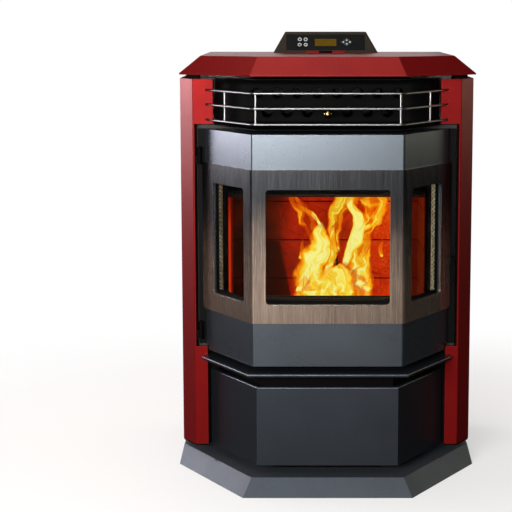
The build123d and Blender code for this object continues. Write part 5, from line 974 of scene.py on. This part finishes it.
class FinishShop:
    """The finishes of the stove: one material for each slot of the record, and those of special nodes."""

    def __init__(self) -> None:
        """Build the effects and the materials."""
        self.effects = Effects()
        finishes = [
            PaintFinish("red_paint", (0.40, 0.045, 0.05), (0.365, 0.038, 0.042), (0.70, 0.24, 0.25),
                        (0.62, 0.10, 0.10), 0.4, 0.40, 0.22, specular=0.05),
            PaintFinish("dark_paint", *DARK_TONES, 0.85, 0.29, 0.25, 0.2, specular=0.3),
            PaintFinish("black_sheet", (0.025, 0.026, 0.028), (0.018, 0.018, 0.02), (0.16, 0.16, 0.16),
                        (0.05, 0.05, 0.05), 0.0, 0.52, 0.1, 0.25, 0.2, specular=0.02),
            PaintFinish("motor_paint", (0.30, 0.31, 0.33), (0.26, 0.27, 0.29), (0.6, 0.6, 0.6), (0.4, 0.4, 0.42)),
            MetalFinish("zinc_sheet", (0.74, 0.75, 0.77), (0.62, 0.63, 0.65), 0.42, 0.22, metallic=0.6,
                        stain_share=0.25),
            MetalFinish("firebox_steel", (0.15, 0.145, 0.14), (0.07, 0.065, 0.06), 0.65, metallic=0.4,
                        edge_highlight_share=0.06),
            MetalFinish("cast_grey", (0.11, 0.105, 0.10), (0.06, 0.055, 0.05), 0.7, grain=0.5, metallic=0.3,
                        edge_highlight_share=0.1),
            MetalFinish("bright_steel", (0.55, 0.55, 0.56), (0.44, 0.44, 0.44), stain_share=0.25),
            MetalFinish("knob_steel", (0.86, 0.76, 0.52), (0.70, 0.58, 0.36), 0.12, stain_share=0.2),
            MetalFinish("screw_brass", (0.74, 0.62, 0.34), (0.55, 0.44, 0.22)),
            BrushedFinish("brushed_plate", (0.195, 0.20, 0.215), (0.655, 0.575, 0.52), 0.60, 0.39, 0.22),
            GlassFinish("window_glass", (0.97, 0.965, 0.95)),
            FibreFinish("seal_rope", (0.74, 0.72, 0.58), (0.30, 0.29, 0.20), 0.6),
            BrickFinish("fire_brick", (0.20, 0.13, 0.09), 1.0, 0.3754, 0.0852),
            ScreenFinish("display_amber", (0.30, 0.225, 0.002), (0.23, 0.165, 0.002)),
            MouldedFinish("console_plastic", (0.13, 0.11, 0.075), (0.11, 0.09, 0.06), 0.55, 0.2, 0.15),
            MouldedFinish("faceplate_film", (0.03, 0.035, 0.038), (0.02, 0.025, 0.028), 0.4, 0.05, 0.1, 0.05),
            MouldedFinish("board_green", (0.06, 0.30, 0.14), (0.04, 0.22, 0.10), 0.35),
            MouldedFinish("key_plastic", (0.12, 0.13, 0.14), (0.10, 0.11, 0.12), 0.3, 0.05),
            MouldedFinish("inlet_plastic", (0.10, 0.10, 0.10), (0.07, 0.07, 0.07), 0.5),
            MouldedFinish("rocker_plastic", (0.09, 0.09, 0.09), (0.06, 0.06, 0.06), 0.28),
        ]
        self.materials = {finish.name: finish.material(self.effects) for finish in finishes}
        # The door's paint turns near black on its back flange: painted shade in the gap beside the door.
        door = PaintFinish("door_paint", *DARK_TONES, 0.85, 0.29, 0.25, 0.2, specular=0.3,
                           shade_from=DOOR_FACE + 0.1845).material(self.effects)
        # The plinth, the shelf and the drawer front take darker copies of the dark paint: painted shade of the
        # lower parts.
        foot = PaintFinish("plinth_paint", *FOOT_SHADED_TONES, 0.6, 0.5, 0.3, 0.3, specular=0.25).material(self.effects)
        low = PaintFinish("drawer_paint", *LOW_SHADED_TONES, 0.85, 0.33, 0.25, 0.2, specular=0.2).material(self.effects)
        sheet = self.materials["black_sheet"]
        # chassis_sides take the black sheet as painted shade, for the dark gaps beside the door.
        self.special = {"door_shell": door, "plinth": foot, "hearth_shelf": low, "drawer_front": low,
                        "chassis_sides": sheet, "glass_frames": sheet, "heat_exchanger": sheet}

    def dress(self, frame: dict[str, Any]) -> None:
        """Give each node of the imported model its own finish, or else that of its slot.

        Args:
            frame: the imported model.
        """
        for part in frame["record"]["subparts"]:
            node = frame["nodes"][part["node"]]
            node.data.materials.clear()
            node.data.materials.append(self.special.get(part["node"], self.materials[part["material_slot"]]))
        LOG.info("dressed %d nodes", len(frame["nodes"]))


# ------------------------------------------------------------------------------------ seals
@dataclass
class Braid:
    """A rope of strands that cross over and under each other round a core."""

    radius: float = 0.0044       # middle line of the strands
    weave: float = 0.00045       # how far a strand goes out over a crossing and in under it
    strand_half: float = 0.0025
    strand_thick: float = 0.00075
    core: float = 0.0038
    core_sides: int = 10
    family: int = 4              # strands wound each way
    pitch: float = 0.034         # length of one turn of a strand
    sides: int = 7

    def surfaces(self, way: Path, squeeze: tuple[float, float], closed: bool = False) -> list[Surface]:
        """Strands and core along a path.

        Strand i of a family is at the angle a = 2 pi (i / family + s / pitch), with s the length run, and
        the other family turns the other way. Its radius is radius + weave cos(2 pi family s / pitch), and
        minus the weave in the other family, so that they pass over and under in turn.

        Args:
            way: evenly spaced points of the middle line, with the rope's width and height there.
            squeeze: scale of its width and of its height.
            closed: whether the path ends where it starts.

        Returns:
            One surface for each strand, and the core.
        """
        path, across, over = way
        step = np.linalg.norm(path[1] - path[0])
        run = np.arange(len(path)) * step
        length = run[-1] + (step if closed else 0.0)
        turns = max(1, round(length / self.pitch)) if closed else length / self.pitch
        found = []
        for hand in (1.0, -1.0):
            lift = self.radius + hand * self.weave * np.cos(TURN * self.family * run * turns / length)
            for strand in range(self.family):
                angle = TURN * (strand / self.family + hand * run * turns / length)
                out = (squeeze[0] * np.cos(angle))[:, None] * across + (squeeze[1] * np.sin(angle))[:, None] * over
                middle = path + lift[:, None] * out
                ahead = ahead_of(middle, closed)
                up = unit(out - np.sum(out * ahead, axis=1, keepdims=True) * ahead)
                side = np.cross(ahead, up)
                surface = tube(middle, side, up, self.strand_half, self.strand_thick, self.sides, closed)
                surface.uv = self._uv(run, strand)
                found.append(surface)
        core = tube(path, across, over, self.core * squeeze[0], self.core * squeeze[1], self.core_sides, closed)
        core.uv = np.zeros((*core.points.shape[:2], 2))
        return found + [core]

    def _uv(self, run: np.ndarray, strand: int) -> np.ndarray:
        """Place on a strand's own stretch of pattern: its length in tenths of a metre, and the way round to 0.2."""
        along, round_it = np.meshgrid(run * 10, np.linspace(0.0, 0.2, self.sides), indexing="ij")
        return np.stack([along + 0.37 * strand, round_it], axis=-1)


@dataclass
class DoorSeals:
    """Rope beside each side window, and the flattened rope that seals the door to the firebox."""

    rope_x: float = 0.2187
    rope_y: float = DOOR_FACE + 0.1504
    low: float = 0.3742
    high: float = 0.6214
    ring_half: float = 0.212
    ring_low: float = 0.360
    ring_high: float = 0.584
    ring_y: float = DOOR_FACE + 0.1928
    corner: float = 0.012
    corner_points: int = 24
    step: float = 0.0013         # from one point of a path to the next

    def make(self, shop: FinishShop) -> None:
        """Build both ropes and the ring, in place of the plain solids.

        Args:
            shop: the finishes.
        """
        pieces = []
        for side, name in ((-1.0, "left_window_rope"), (1.0, "right_window_rope")):
            surfaces = Braid().surfaces(self._upright(side * self.rope_x), (1.15, 1.0))
            pieces.append(make_piece(name, surfaces, shop.materials["seal_rope"], "door"))
        sooty = FibreFinish("sooty_rope", (0.09, 0.09, 0.08), (0.03, 0.03, 0.028)).material(shop.effects)
        surfaces = Braid(sides=5).surfaces(self._ring(), (0.80, 0.48), closed=True)
        pieces.append(make_piece("door_ring_rope", surfaces, sooty, "door"))
        for piece in pieces:
            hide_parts("door_seals")

    def _upright(self, x: float) -> Path:
        """Straight upright path.

        Args:
            x: its X.

        Returns:
            The path, with its width along X and its height along Y.
        """
        z = np.arange(self.low, self.high, self.step)
        path = np.stack([np.full_like(z, x), np.full_like(z, self.rope_y), z], axis=1)
        return path, np.tile(RIGHT, (len(z), 1)), np.tile(BACK, (len(z), 1))

    def _ring(self) -> Path:
        """Rounded rectangle in the plane of the door's back.

        The corners are quarter circles, and the points lie evenly along the whole loop. The width of the
        rope is in the plane, square to the path, and its height is along Y.

        Returns:
            The path, which ends a step before its start.
        """
        x = self.ring_half - self.corner
        low = self.ring_low + self.corner
        high = self.ring_high - self.corner
        quarter = np.linspace(0.0, math.pi / 2, self.corner_points)
        knots = []
        for number, (cx, cz) in enumerate(((x, high), (-x, high), (-x, low), (x, low))):
            angle = quarter + number * math.pi / 2
            knots.append(np.stack([cx + self.corner * np.cos(angle), cz + self.corner * np.sin(angle)], axis=1))
        loop = np.concatenate(knots + [knots[0][:1]])
        run = run_of(loop)
        count = round(run[-1] / self.step)
        even = np.arange(count) * run[-1] / count
        path = np.stack([np.interp(even, run, loop[:, 0]), np.full(count, self.ring_y),
                         np.interp(even, run, loop[:, 1])], axis=1)
        over = np.tile(BACK, (count, 1))
        return path, np.cross(over, ahead_of(path, True)), over


# ------------------------------------------------------------------------------------ fire
@dataclass(frozen=True)
class Wisp:
    """One sheet of flame, in millimetres from the middle of the burn pot's floor of pellets.

    Its line goes up its middle: each point is its place across, its height and the half width there. Its
    heat and its thickness go from the first value at its root to the second at its tip.
    """

    depth: float
    heat: tuple[float, float]
    veil: tuple[float, float]
    line: tuple[Point, ...]


@dataclass
class Fire:
    """Flames over the burn pot, and the pellets that burn in it."""

    rows: int = 60
    columns: int = 13
    bulge: float = 0.45
    thread_width: float = 0.016
    thread_length: float = 0.060
    bed_drop: float = 0.018      # from the top of the pot down to the bed of pellets
    pot_wall: float = 0.016      # width of the pot's rim that stays free of pellets
    mound: float = 0.008         # rise of the bed at its middle
    sink: float = 0.012          # depth to which pellets lie in the bed
    pellets: int = 190
    pellet_radius: float = 0.003
    pellet_half: float = 0.0075
    pellet_sides: int = 8
    seed: int = 7

    def make(self, shop: FinishShop) -> None:
        """Build the flames and the ember bed.

        Args:
            shop: the finishes.
        """
        low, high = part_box("burn_pot")
        middle = np.array([(low.x + high.x) / 2, (low.y + high.y) / 2, high.z - self.bed_drop])
        flame = FlameFinish("flame_glow", 1.0).material(shop.effects)
        ember = EmberFinish("ember_glow", 1.3).material(shop.effects)
        sheets = [self._sheet(wisp, middle[1], middle[2]) for wisp in self._masses() + self._licks()]
        make_piece("flames", sheets, flame, "root")
        bed = self._bed(middle, (high.x - low.x) / 2, (high.y - low.y) / 2)
        make_piece("burning_pellets", bed, ember, "root", smooth=False)

    @staticmethod
    def _masses() -> list[Wisp]:
        """Main flames.

        Returns:
            A tall body on the right with a lobe at its top, a leaning one on the left, and what joins them.
        """
        right_body = ((68, 4, 34), (70, 39, 34), (72, 70, 29), (74, 96, 27), (78, 127, 26), (85, 149, 29),
                      (94, 168, 33), (99, 188, 34), (97, 210, 32), (90, 226, 20))
        right_haze = ((98, 158, 21), (102, 180, 30), (102, 199, 33), (98, 215, 30), (93, 228, 20))
        streak = ((38, 58, 6), (51, 96, 12), (64, 118, 16), (72, 149, 15), (66, 175, 12), (53, 197, 10),
                  (47, 216, 5))
        lobe = ((24, 88, 9), (18, 118, 14), (18, 144, 18), (24, 171, 20), (36, 193, 23), (52, 210, 26),
                (64, 226, 16))
        left_body = ((-37, 4, 33), (-36, 44, 36), (-26, 72, 32), (-14, 90, 33), (-10, 109, 29), (-13, 127, 22),
                     (-12, 144, 13), (-11, 160, 4))
        plume = ((-26, 112, 8), (-32, 136, 17), (-36, 153, 22), (-42, 166, 24), (-51, 182, 21), (-62, 196, 16),
                 (-71, 210, 12), (-78, 226, 8))
        plume_edge = ((-10, 146, 3), (-22, 164, 5), (-33, 175, 6), (-47, 183, 6), (-58, 196, 5), (-66, 216, 4))
        strand = ((-8, 26, 14), (5, 61, 10), (16, 88, 9), (17, 109, 8), (14, 131, 7), (12, 156, 5))
        mound = ((6, -14, 92), (6, 14, 88), (3, 33, 74), (-9, 48, 48), (-17, 62, 20))
        bulb = ((64, -12, 33), (68, 22, 34), (74, 42, 28), (84, 60, 15), (92, 78, 5))
        spark = ((121, 80, 4), (118, 98, 7), (121, 116, 5), (119, 138, 1))
        lick = ((-56, 74, 6), (-50, 93, 7), (-51, 109, 5), (-48, 126, 1))
        return [
            Wisp(0.0, (0.86, 0.34), (0.85, 0.55), right_body), Wisp(22.0, (0.40, 0.16), (0.75, 0.4), right_haze),
            Wisp(-14.0, (0.90, 0.78), (0.9, 0.7), streak), Wisp(10.0, (0.62, 0.52), (0.6, 0.55), lobe),
            Wisp(-4.0, (0.82, 0.70), (0.95, 0.75), left_body), Wisp(16.0, (0.48, 0.24), (0.55, 0.42), plume),
            Wisp(12.0, (0.80, 0.52), (0.85, 0.5), plume_edge), Wisp(-20.0, (0.78, 0.62), (0.8, 0.5), strand),
            Wisp(-54.0, (0.80, 0.66), (1.0, 0.6), mound), Wisp(-38.0, (0.92, 0.66), (0.8, 0.6), bulb),
            Wisp(0.0, (0.50, 0.40), (0.6, 0.4), spark), Wisp(6.0, (0.55, 0.40), (0.6, 0.4), lick),
        ]

    @staticmethod
    def _licks() -> list[Wisp]:
        """Low tongues along the front of the fire.

        Returns:
            One wisp for each, from the place of its foot, its lean and its height.
        """
        feet = ((-57, 4, 46), (-38, -5, 54), (-8, 8, 42), (24, -6, 46), (52, 6, 58), (84, 6, 48))
        found = []
        for foot, lean, height in feet:
            line = ((foot, -12, 8), (foot, 0.3 * height, 11), (foot + lean, 0.65 * height, 7),
                    (foot + 2 * lean, height, 1))
            found.append(Wisp(-57.0, (0.98, 0.62), (0.9, 0.5), line))
        return found

    def _sheet(self, wisp: Wisp, depth: float, floor: float) -> Surface:
        """Sheet of flame along its middle line.

        With t from 0 to 1 up the line and s from -1 to 1 across it, a point lies s half widths to the side,
        square to the line in the upright plane, and bulges forward by a share of the half width times
        1 - s squared, with a ripple of a tenth of the half width, sin(9 t + 3 s), from front to back. Its
        place among the threads is its distance to the side and the length run, in widths and lengths of one.

        Args:
            wisp: the flame.
            depth: Y of the middle of the pot.
            floor: Z of the bed of pellets.

        Returns:
            The surface, with its three maps.
        """
        line = flowing(np.array(wisp.line, dtype=float), self.rows) / 1000.0
        s, t = np.meshgrid(np.linspace(-1.0, 1.0, self.columns), np.linspace(0.0, 1.0, self.rows))
        ahead = ahead_of(line[:, :2], False)
        half = line[:, 2:3]
        x = line[:, :1] + half * s * ahead[:, 1:]
        z = floor + line[:, 1:2] - half * s * ahead[:, :1]
        y = depth + wisp.depth / 1000.0 - half * (self.bulge * (1.0 - s ** 2) - 0.1 * np.sin(9.0 * t + 3.0 * s))
        heat, veil = (root + (tip - root) * t for root, tip in (wisp.heat, wisp.veil))
        run = run_of(line[:, :2])[:, None]
        flow = np.stack([half * s / self.thread_width, run / self.thread_length + 0.0 * s], axis=-1)
        return Surface(np.stack([x, y, z], axis=-1), np.stack([(s + 1.0) / 2, t], axis=-1),
                       np.stack([heat, veil], axis=-1), flow)

    def _bed(self, middle: np.ndarray, half_x: float, half_y: float) -> list[Surface]:
        """Pellets heaped in the pot: short rods turned at random, on a low mound.

        The mound is its rise times 1 - (x / half_x)^2 - (y / half_y)^2.

        Args:
            middle: middle of the bed.
            half_x: half the width of the pot.
            half_y: half its depth.

        Returns:
            One surface for each pellet.
        """
        rng = np.random.default_rng(self.seed)
        angle = around(self.pellet_sides)[:, None]
        spots = rng.uniform(-1.0, 1.0, (self.pellets, 2)) * (half_x - self.pot_wall, half_y - self.pot_wall)
        sink = rng.uniform(0.0, self.sink, self.pellets)
        heading = rng.uniform(0.0, TURN, self.pellets)
        tilt = rng.normal(0.0, 0.35, self.pellets)
        found = []
        for (px, py), down, turn, lean in zip(spots, sink, heading, tilt):
            ahead = np.array([math.cos(turn) * math.cos(lean), math.sin(turn) * math.cos(lean), math.sin(lean)])
            side = unit(np.cross(ahead, UP))
            rise = self.mound * (1.0 - (px / half_x) ** 2 - (py / half_y) ** 2)
            ends = middle + (px, py, rise - down) + np.array([-1.0, 1.0])[:, None] * self.pellet_half * ahead
            ring = self.pellet_radius * (np.cos(angle) * side + np.sin(angle) * np.cross(side, ahead))
            found.append(Surface(ends[:, None] + ring[None], closed_columns=True, capped=True))
        return found


# ------------------------------------------------------------------------------------ controls
@dataclass
class ControlPanel:
    """Legends of the console: a ring on each round key and four arrows on the diamond."""

    lean: float = math.atan(25.0 / 45.0)
    ring_outer: float = 0.0041
    ring_inner: float = 0.0027
    proud: float = 0.00012
    arrow_reach: float = 0.0092
    arrow_upright: float = 0.72  # reach of the arrows up and down, beside that of the others
    arrow_size: float = 0.0030
    arrow_slender: float = 0.8   # half width of an arrow, beside its length
    keys: int = 4

    def make(self, frame: dict[str, Any], shop: FinishShop) -> None:
        """Build the legends on their keys.

        Args:
            frame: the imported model, whose keys they lie on.
            shop: the finishes.
        """
        legend = MouldedFinish("legend_print", (0.72, 0.76, 0.78), (0.64, 0.68, 0.70), 0.35).material(shop.effects)
        self.normal = np.array([0.0, -math.cos(self.lean), math.sin(self.lean)])
        for number in range(1, self.keys + 1):
            centre = face_of(frame["nodes"][f"round_key_{number}"], self.normal)
            make_piece(f"key_ring_{number}", [self._ring(centre)], legend, f"key_{number}")
        centre = face_of(frame["nodes"]["four_way_pad"], self.normal)
        make_piece("pad_legend", self._diamond(centre), legend, "pad", smooth=False)

    def _place(self, centre: np.ndarray, right: np.ndarray, up: np.ndarray, out: np.ndarray) -> np.ndarray:
        """Points on the sloping face of the console.

        Args:
            centre: point from which they are measured.
            right: distances to the right.
            up: distances up the slope.
            out: distances out of it.

        Returns:
            The points.
        """
        upward = np.array([0.0, math.sin(self.lean), math.cos(self.lean)])
        right, up, out = (part[..., None] for part in np.broadcast_arrays(right, up, out))
        return centre + right * np.array(RIGHT) + up * upward + out * self.normal

    def _ring(self, centre: np.ndarray) -> Surface:
        """Flat ring with a rounded top.

        For the angle a round the key and b round the ring's section, a point lies at the radius middle +
        half width cos(b), in the direction a, and proud sin(b) out of the key's face.

        Args:
            centre: middle of the key's face.

        Returns:
            The surface, closed both ways.
        """
        angle, profile = around(40)[:, None], around(8)[None, :]
        middle = (self.ring_outer + self.ring_inner) / 2
        radius = middle + (self.ring_outer - self.ring_inner) / 2 * np.cos(profile)
        points = self._place(centre, radius * np.cos(angle), radius * np.sin(angle), self.proud * np.sin(profile))
        return Surface(points, closed_rows=True, closed_columns=True)

    def _diamond(self, centre: np.ndarray) -> list[Surface]:
        """Four arrow heads, each a thin prism on a triangle that is turned by quarters.

        Args:
            centre: middle of the pad's face.

        Returns:
            One surface for each.
        """
        found = []
        for turn in range(4):
            angle = turn * math.pi / 2
            reach = self.arrow_reach * (1.0 if turn % 2 == 0 else self.arrow_upright)
            ahead = np.array([[reach, reach - self.arrow_size, reach - self.arrow_size]])
            aside = np.array([[0.0, self.arrow_size * self.arrow_slender, -self.arrow_size * self.arrow_slender]])
            right = ahead * math.cos(angle) - aside * math.sin(angle)
            up = ahead * math.sin(angle) + aside * math.cos(angle)
            points = self._place(centre, right, up, np.array([[-self.proud], [self.proud]]))
            found.append(Surface(points, closed_columns=True, capped=True))
        return found


# ------------------------------------------------------------------------------------ screws
@dataclass
class ScrewHeads:
    """Domed heads with a cross recess, in place of the plain ones."""

    radius: float = 0.0032
    height: float = 0.0017
    recess: float = 0.0008
    arm: float = 0.16            # half width of an arm of the cross, as a share of the radius
    plinth_x: float = 0.232
    plinth_y: float = DOOR_FACE + 0.128
    plinth_z: float = 0.0345
    panel_x: float = 0.2775
    panel_y: float = DOOR_FACE + 0.558
    panel_low: float = 0.080
    panel_high: float = 0.740
    panel_rows: int = 4

    def make(self, shop: FinishShop) -> None:
        """Build the two groups of heads as one piece.

        Args:
            shop: the finishes.
        """
        surfaces = []
        for side in (-1.0, 1.0):
            surfaces.append(self._head((side * self.plinth_x, self.plinth_y, self.plinth_z), RIGHT, BACK, UP))
            for z in np.linspace(self.panel_low, self.panel_high, self.panel_rows):
                surfaces.append(self._head((side * self.panel_x, self.panel_y, float(z)), RIGHT, UP, BACK))
        piece = make_piece("screw_heads", surfaces, shop.materials["screw_brass"], "root")
        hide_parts("screws")

    def _head(self, place: Point, right: Point, up: Point, out: Point) -> Surface:
        """Turned head with a cross recess.

        For the radius r and the angle a, the height is that of a low dome, height (1 - 0.45 (r / radius)^2),
        less a recess that is deep near the middle and along both arms of the cross.

        Args:
            place: middle of the head's foot.
            right: direction of one arm of the cross.
            up: direction of the other arm.
            out: direction in which the head stands out.

        Returns:
            The surface, capped at the middle and at the foot.
        """
        angle = around(48)[None, :]
        share = np.array([0.02, 0.12, 0.22, 0.32, 0.42, 0.52, 0.6, 0.7, 0.82, 0.92, 0.99, 1.0, 1.0])[:, None]
        wide, high = self.radius * share * np.cos(angle), self.radius * share * np.sin(angle)
        arm = np.minimum(np.abs(high), np.abs(wide)) / (self.arm * self.radius)
        cross = np.clip(1.0 - arm, 0.0, 1.0) * np.clip((0.62 - share) / 0.1, 0.0, 1.0)
        dome = self.height * (1.0 - 0.45 * share ** 2) - self.recess * cross
        dome[-2:] = np.array([[0.45 * self.height], [0.0]])
        points = np.array(place) + sum(part[..., None] * np.array(axis)
                                       for part, axis in ((wide, right), (high, up), (dome, out)))
        return Surface(points, closed_columns=True, capped=True)


# ------------------------------------------------------------------------------------ studio
class Side(Enum):
    """Where a soft lamp stands."""

    FRONT = "front_softbox"
    LEFT = "left_softbox"
    TOP = "top_softbox"
    RIGHT = "right_fill"
    BACK = "back_fill"
    HIGH = "high_front_softbox"


def hang(name: str, kind: str, place: Point, watts: float, colour: Colour) -> bpy.types.Object:
    """Hang a lamp, unseen by the camera and through glass.

    Args:
        name: name of the lamp.
        kind: its kind.
        place: where it hangs.
        watts: its power.
        colour: its colour.

    Returns:
        The lamp.
    """
    data = bpy.data.lights.new(name, kind)
    data.energy = watts
    data.color = colour
    lamp = add_object(name, data)
    lamp.location = place
    lamp.visible_camera = False
    lamp.visible_transmission = False
    return lamp


@dataclass(frozen=True)
class Softbox:
    """A soft lamp: its place, what it looks at, its size and its power. Shiny surfaces show it."""

    side: Side
    place: Point
    target: Point
    size: tuple[float, float]
    watts: float
    colour: Colour = WHITE

    def make(self) -> None:
        """Hang the lamp and turn it to what it looks at."""
        lamp = hang(self.side.value, "AREA", self.place, self.watts, self.colour)
        lamp.data.shape = "RECTANGLE"
        lamp.data.size, lamp.data.size_y = self.size
        lamp.rotation_euler = (Vector(self.target) - lamp.location).to_track_quat("-Z", "Y").to_euler()


@dataclass
class FireLight:
    """Warm lamp inside the firebox, at the height of the flames, which no reflection shows."""

    place: Point = (0.03, DOOR_FACE + 0.26, 0.46)
    watts: float = 3.0
    radius: float = 0.05
    colour: Colour = (1.0, 0.36, 0.08)

    def make(self) -> None:
        """Hang the lamp."""
        lamp = hang("fire_lamp", "POINT", self.place, self.watts, self.colour)
        lamp.data.shadow_soft_size = self.radius
        lamp.visible_glossy = False


@dataclass
class Studio:
    """Pale floor, dark surround for reflections, lamps, world and camera."""

    focal_pixels: float = 1602.0
    image_pixels: float = 512.0
    sensor: float = 36.0
    eye: Point = (-0.045, -3.398, 0.939)
    pitch: float = math.radians(8.37)
    axis_pixel: float = 305.0    # pixel column that the camera looks along
    floor_half: float = 14.0
    surround_radius: float = 9.0
    ambient: float = 0.14
    gleam_left: float = 0.33     # light that the floor gives back left of the stove
    gleam_right: float = 0.015

    def make(self) -> None:
        """Build everything that isn't the stove."""
        self._camera()
        self._world()
        self._floor()
        self._surround()
        for lamp in self._lamps():
            lamp.make()
        bpy.context.scene.view_settings.view_transform = "Standard"

    def _camera(self) -> None:
        """Camera of the picture: level sides, tilted down a little, its frame shifted sideways."""
        data = bpy.data.cameras.new("camera")
        data.sensor_width = self.sensor
        data.lens = self.focal_pixels / self.image_pixels * self.sensor
        data.shift_x = (self.image_pixels / 2 - self.axis_pixel) / self.image_pixels
        camera = add_object("camera", data)
        camera.location = self.eye
        camera.rotation_euler = (math.pi / 2 - self.pitch, 0.0, 0.0)
        bpy.context.scene.camera = camera

    @staticmethod
    def _seen(bench: Tree, rays: dict[str, Field]) -> Field:
        """One for rays of the camera, also through glass.

        Behind glass only those count that nothing has scattered before, so that the white lights nothing.

        Args:
            bench: the tree that asks.
            rays: outputs of its Light Path.

        Returns:
            One for them and nothing for the rest.
        """
        bounced = bench.math("MINIMUM", rays["Diffuse Depth"] + rays["Glossy Depth"], 1.0)
        return (rays["Is Transmission Ray"] * (1.0 - bounced)).max(rays["Is Camera Ray"])

    def _world(self) -> None:
        """White seen by the camera, in metal and through glass, and a soft grey light for the rest."""
        world = bpy.data.worlds.new("studio_world")
        bpy.context.scene.world = world
        world.use_nodes = True
        bench = Tree(world.node_tree)
        rays = bench.node("LightPath")
        seen = self._seen(bench, rays).max(rays["Is Glossy Ray"])
        back = next(n for n in world.node_tree.nodes if n.type == "BACKGROUND")
        back.inputs["Color"].default_value = linear(WHITE)
        bench.feed(back.inputs["Strength"], seen.spread(0.0, 1.0, self.ambient, 1.0, smooth=False))

    def _floor(self) -> None:
        """Pale floor that keeps the soft shadow of the stove and runs out into white."""
        coat = Coat("studio_floor", Roughness=0.9, Specular_IOR_Level=0.0)
        rays = coat.node("LightPath")
        seen = self._seen(coat, rays)
        coat.set(Base_Color=coat.mix(rays["Is Diffuse Ray"], (0.88, 0.88, 0.88, 1.0), (0.4, 0.4, 0.4, 1.0)))
        place = coat.place()
        share = (seen * coat.vector("LENGTH", place).spread(0.55, 1.6, 0.55, 1.0)).max(rays["Is Glossy Ray"])
        white = coat.node("Emission", Strength=seen.max(self._gleam(place)))
        blend = coat.node("MixShader", share, coat.shader.outputs[0], white["Emission"])
        out = next(n for n in coat.tree.nodes if n.type == "OUTPUT_MATERIAL")
        coat.feed(out.inputs["Surface"], blend["Shader"])
        reach = np.linspace(-self.floor_half, self.floor_half, 2)
        x, y = np.meshgrid(reach, reach)
        floor = make_mesh("studio_floor", [Surface(np.stack([x, y, np.zeros_like(x)], axis=-1))], coat.material)

    def _gleam(self, place: Field) -> Field:
        """Light that shiny sheets get back from the floor.

        Args:
            place: place on the floor.

        Returns:
            Its strength: most at the left and before the stove, and white far behind it.
        """
        right, back, _ = place.split()
        gleam = right.spread(-0.35, 0.3, self.gleam_left, self.gleam_right) * back.spread(-1.6, -0.65, 1.0, 0.08)
        return gleam * right.spread(-1.6, -0.6, 0.3, 1.0) * back.spread(0.5, 3.0, 1.0, 1.0 / self.gleam_left)

    def _surround(self) -> None:
        """Dark walls and ceiling of the studio, which only reflections meet, with a pale back."""
        radius = self.surround_radius
        coat = Coat("studio_surround", Specular_IOR_Level=0.0, Base_Color=linear(BLACK), Emission_Strength=1.0)
        across, back, up = coat.place().split()
        rear = back.spread(0.35 * radius, 0.98 * radius) * across.spread(0.25 * radius, 0.7 * radius, 1.0, 0.15)
        left = across.spread(-0.2 * radius, -0.9 * radius)
        light = (rear * 0.8 + left * 0.18) * up.spread(0.5 * radius, 0.1 * radius)
        coat.set(Emission_Color=light.ramp((0.0, (0.17, 0.165, 0.15)), (0.5, (0.70, 0.70, 0.70)),
                                           (1.0, (0.98, 0.98, 0.98))))
        rows, columns = np.linspace(0.02, math.pi / 2, 13)[:, None], around(36)[None, :]
        points = radius * np.stack([np.sin(rows) * np.cos(columns), np.sin(rows) * np.sin(columns),
                                    np.cos(rows) + 0.0 * columns], axis=-1)
        surround = make_mesh("studio_surround", [Surface(points, closed_columns=True)], coat.material)
        for way in ("camera", "diffuse", "shadow", "transmission"):
            setattr(surround, f"visible_{way}", False)

    @staticmethod
    def _lamps() -> list[Softbox]:
        """The soft lamps.

        Returns:
            Each with its place, target, size, power and colour.
        """
        return [
            Softbox(Side.FRONT, (-0.88, -3.25, 1.02), (0.0, 0.0, 1.02), (2.0, 0.50), 165.0, (1.0, 0.97, 0.92)),
            Softbox(Side.LEFT, (-2.7, 1.5, 0.82), (0.0, 0.0, 0.82), (2.2, 0.60), 50.0, (1.0, 0.94, 1.0)),
            Softbox(Side.TOP, (-0.3, 0.25, 2.7), (0.0, -0.1, 0.8), (1.4, 1.2), 28.0, (1.0, 0.84, 0.74)),
            Softbox(Side.HIGH, (-0.3, -1.75, 2.6), (0.0, -0.25, 0.0), (1.2, 0.50), 12.0),
            Softbox(Side.RIGHT, (2.7, 1.5, 0.88), (0.0, 0.0, 0.86), (2.2, 0.50), 8.0, (1.0, 0.92, 0.68)),
            Softbox(Side.BACK, (-0.3, 3.0, 1.3), (0.0, 0.0, 0.5), (1.6, 1.2), 7.0),
        ]


def main() -> None:
    """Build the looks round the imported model."""
    logging.basicConfig(level=logging.INFO, format="%(name)s: %(message)s")
    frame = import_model()
    Studio().make()
    shop = FinishShop()
    shop.dress(frame)
    DoorSeals().make(shop)
    Fire().make(shop)
    FireLight().make()
    ControlPanel().make(frame, shop)
    ScrewHeads().make(shop)


if __name__ == "__main__":
    main()
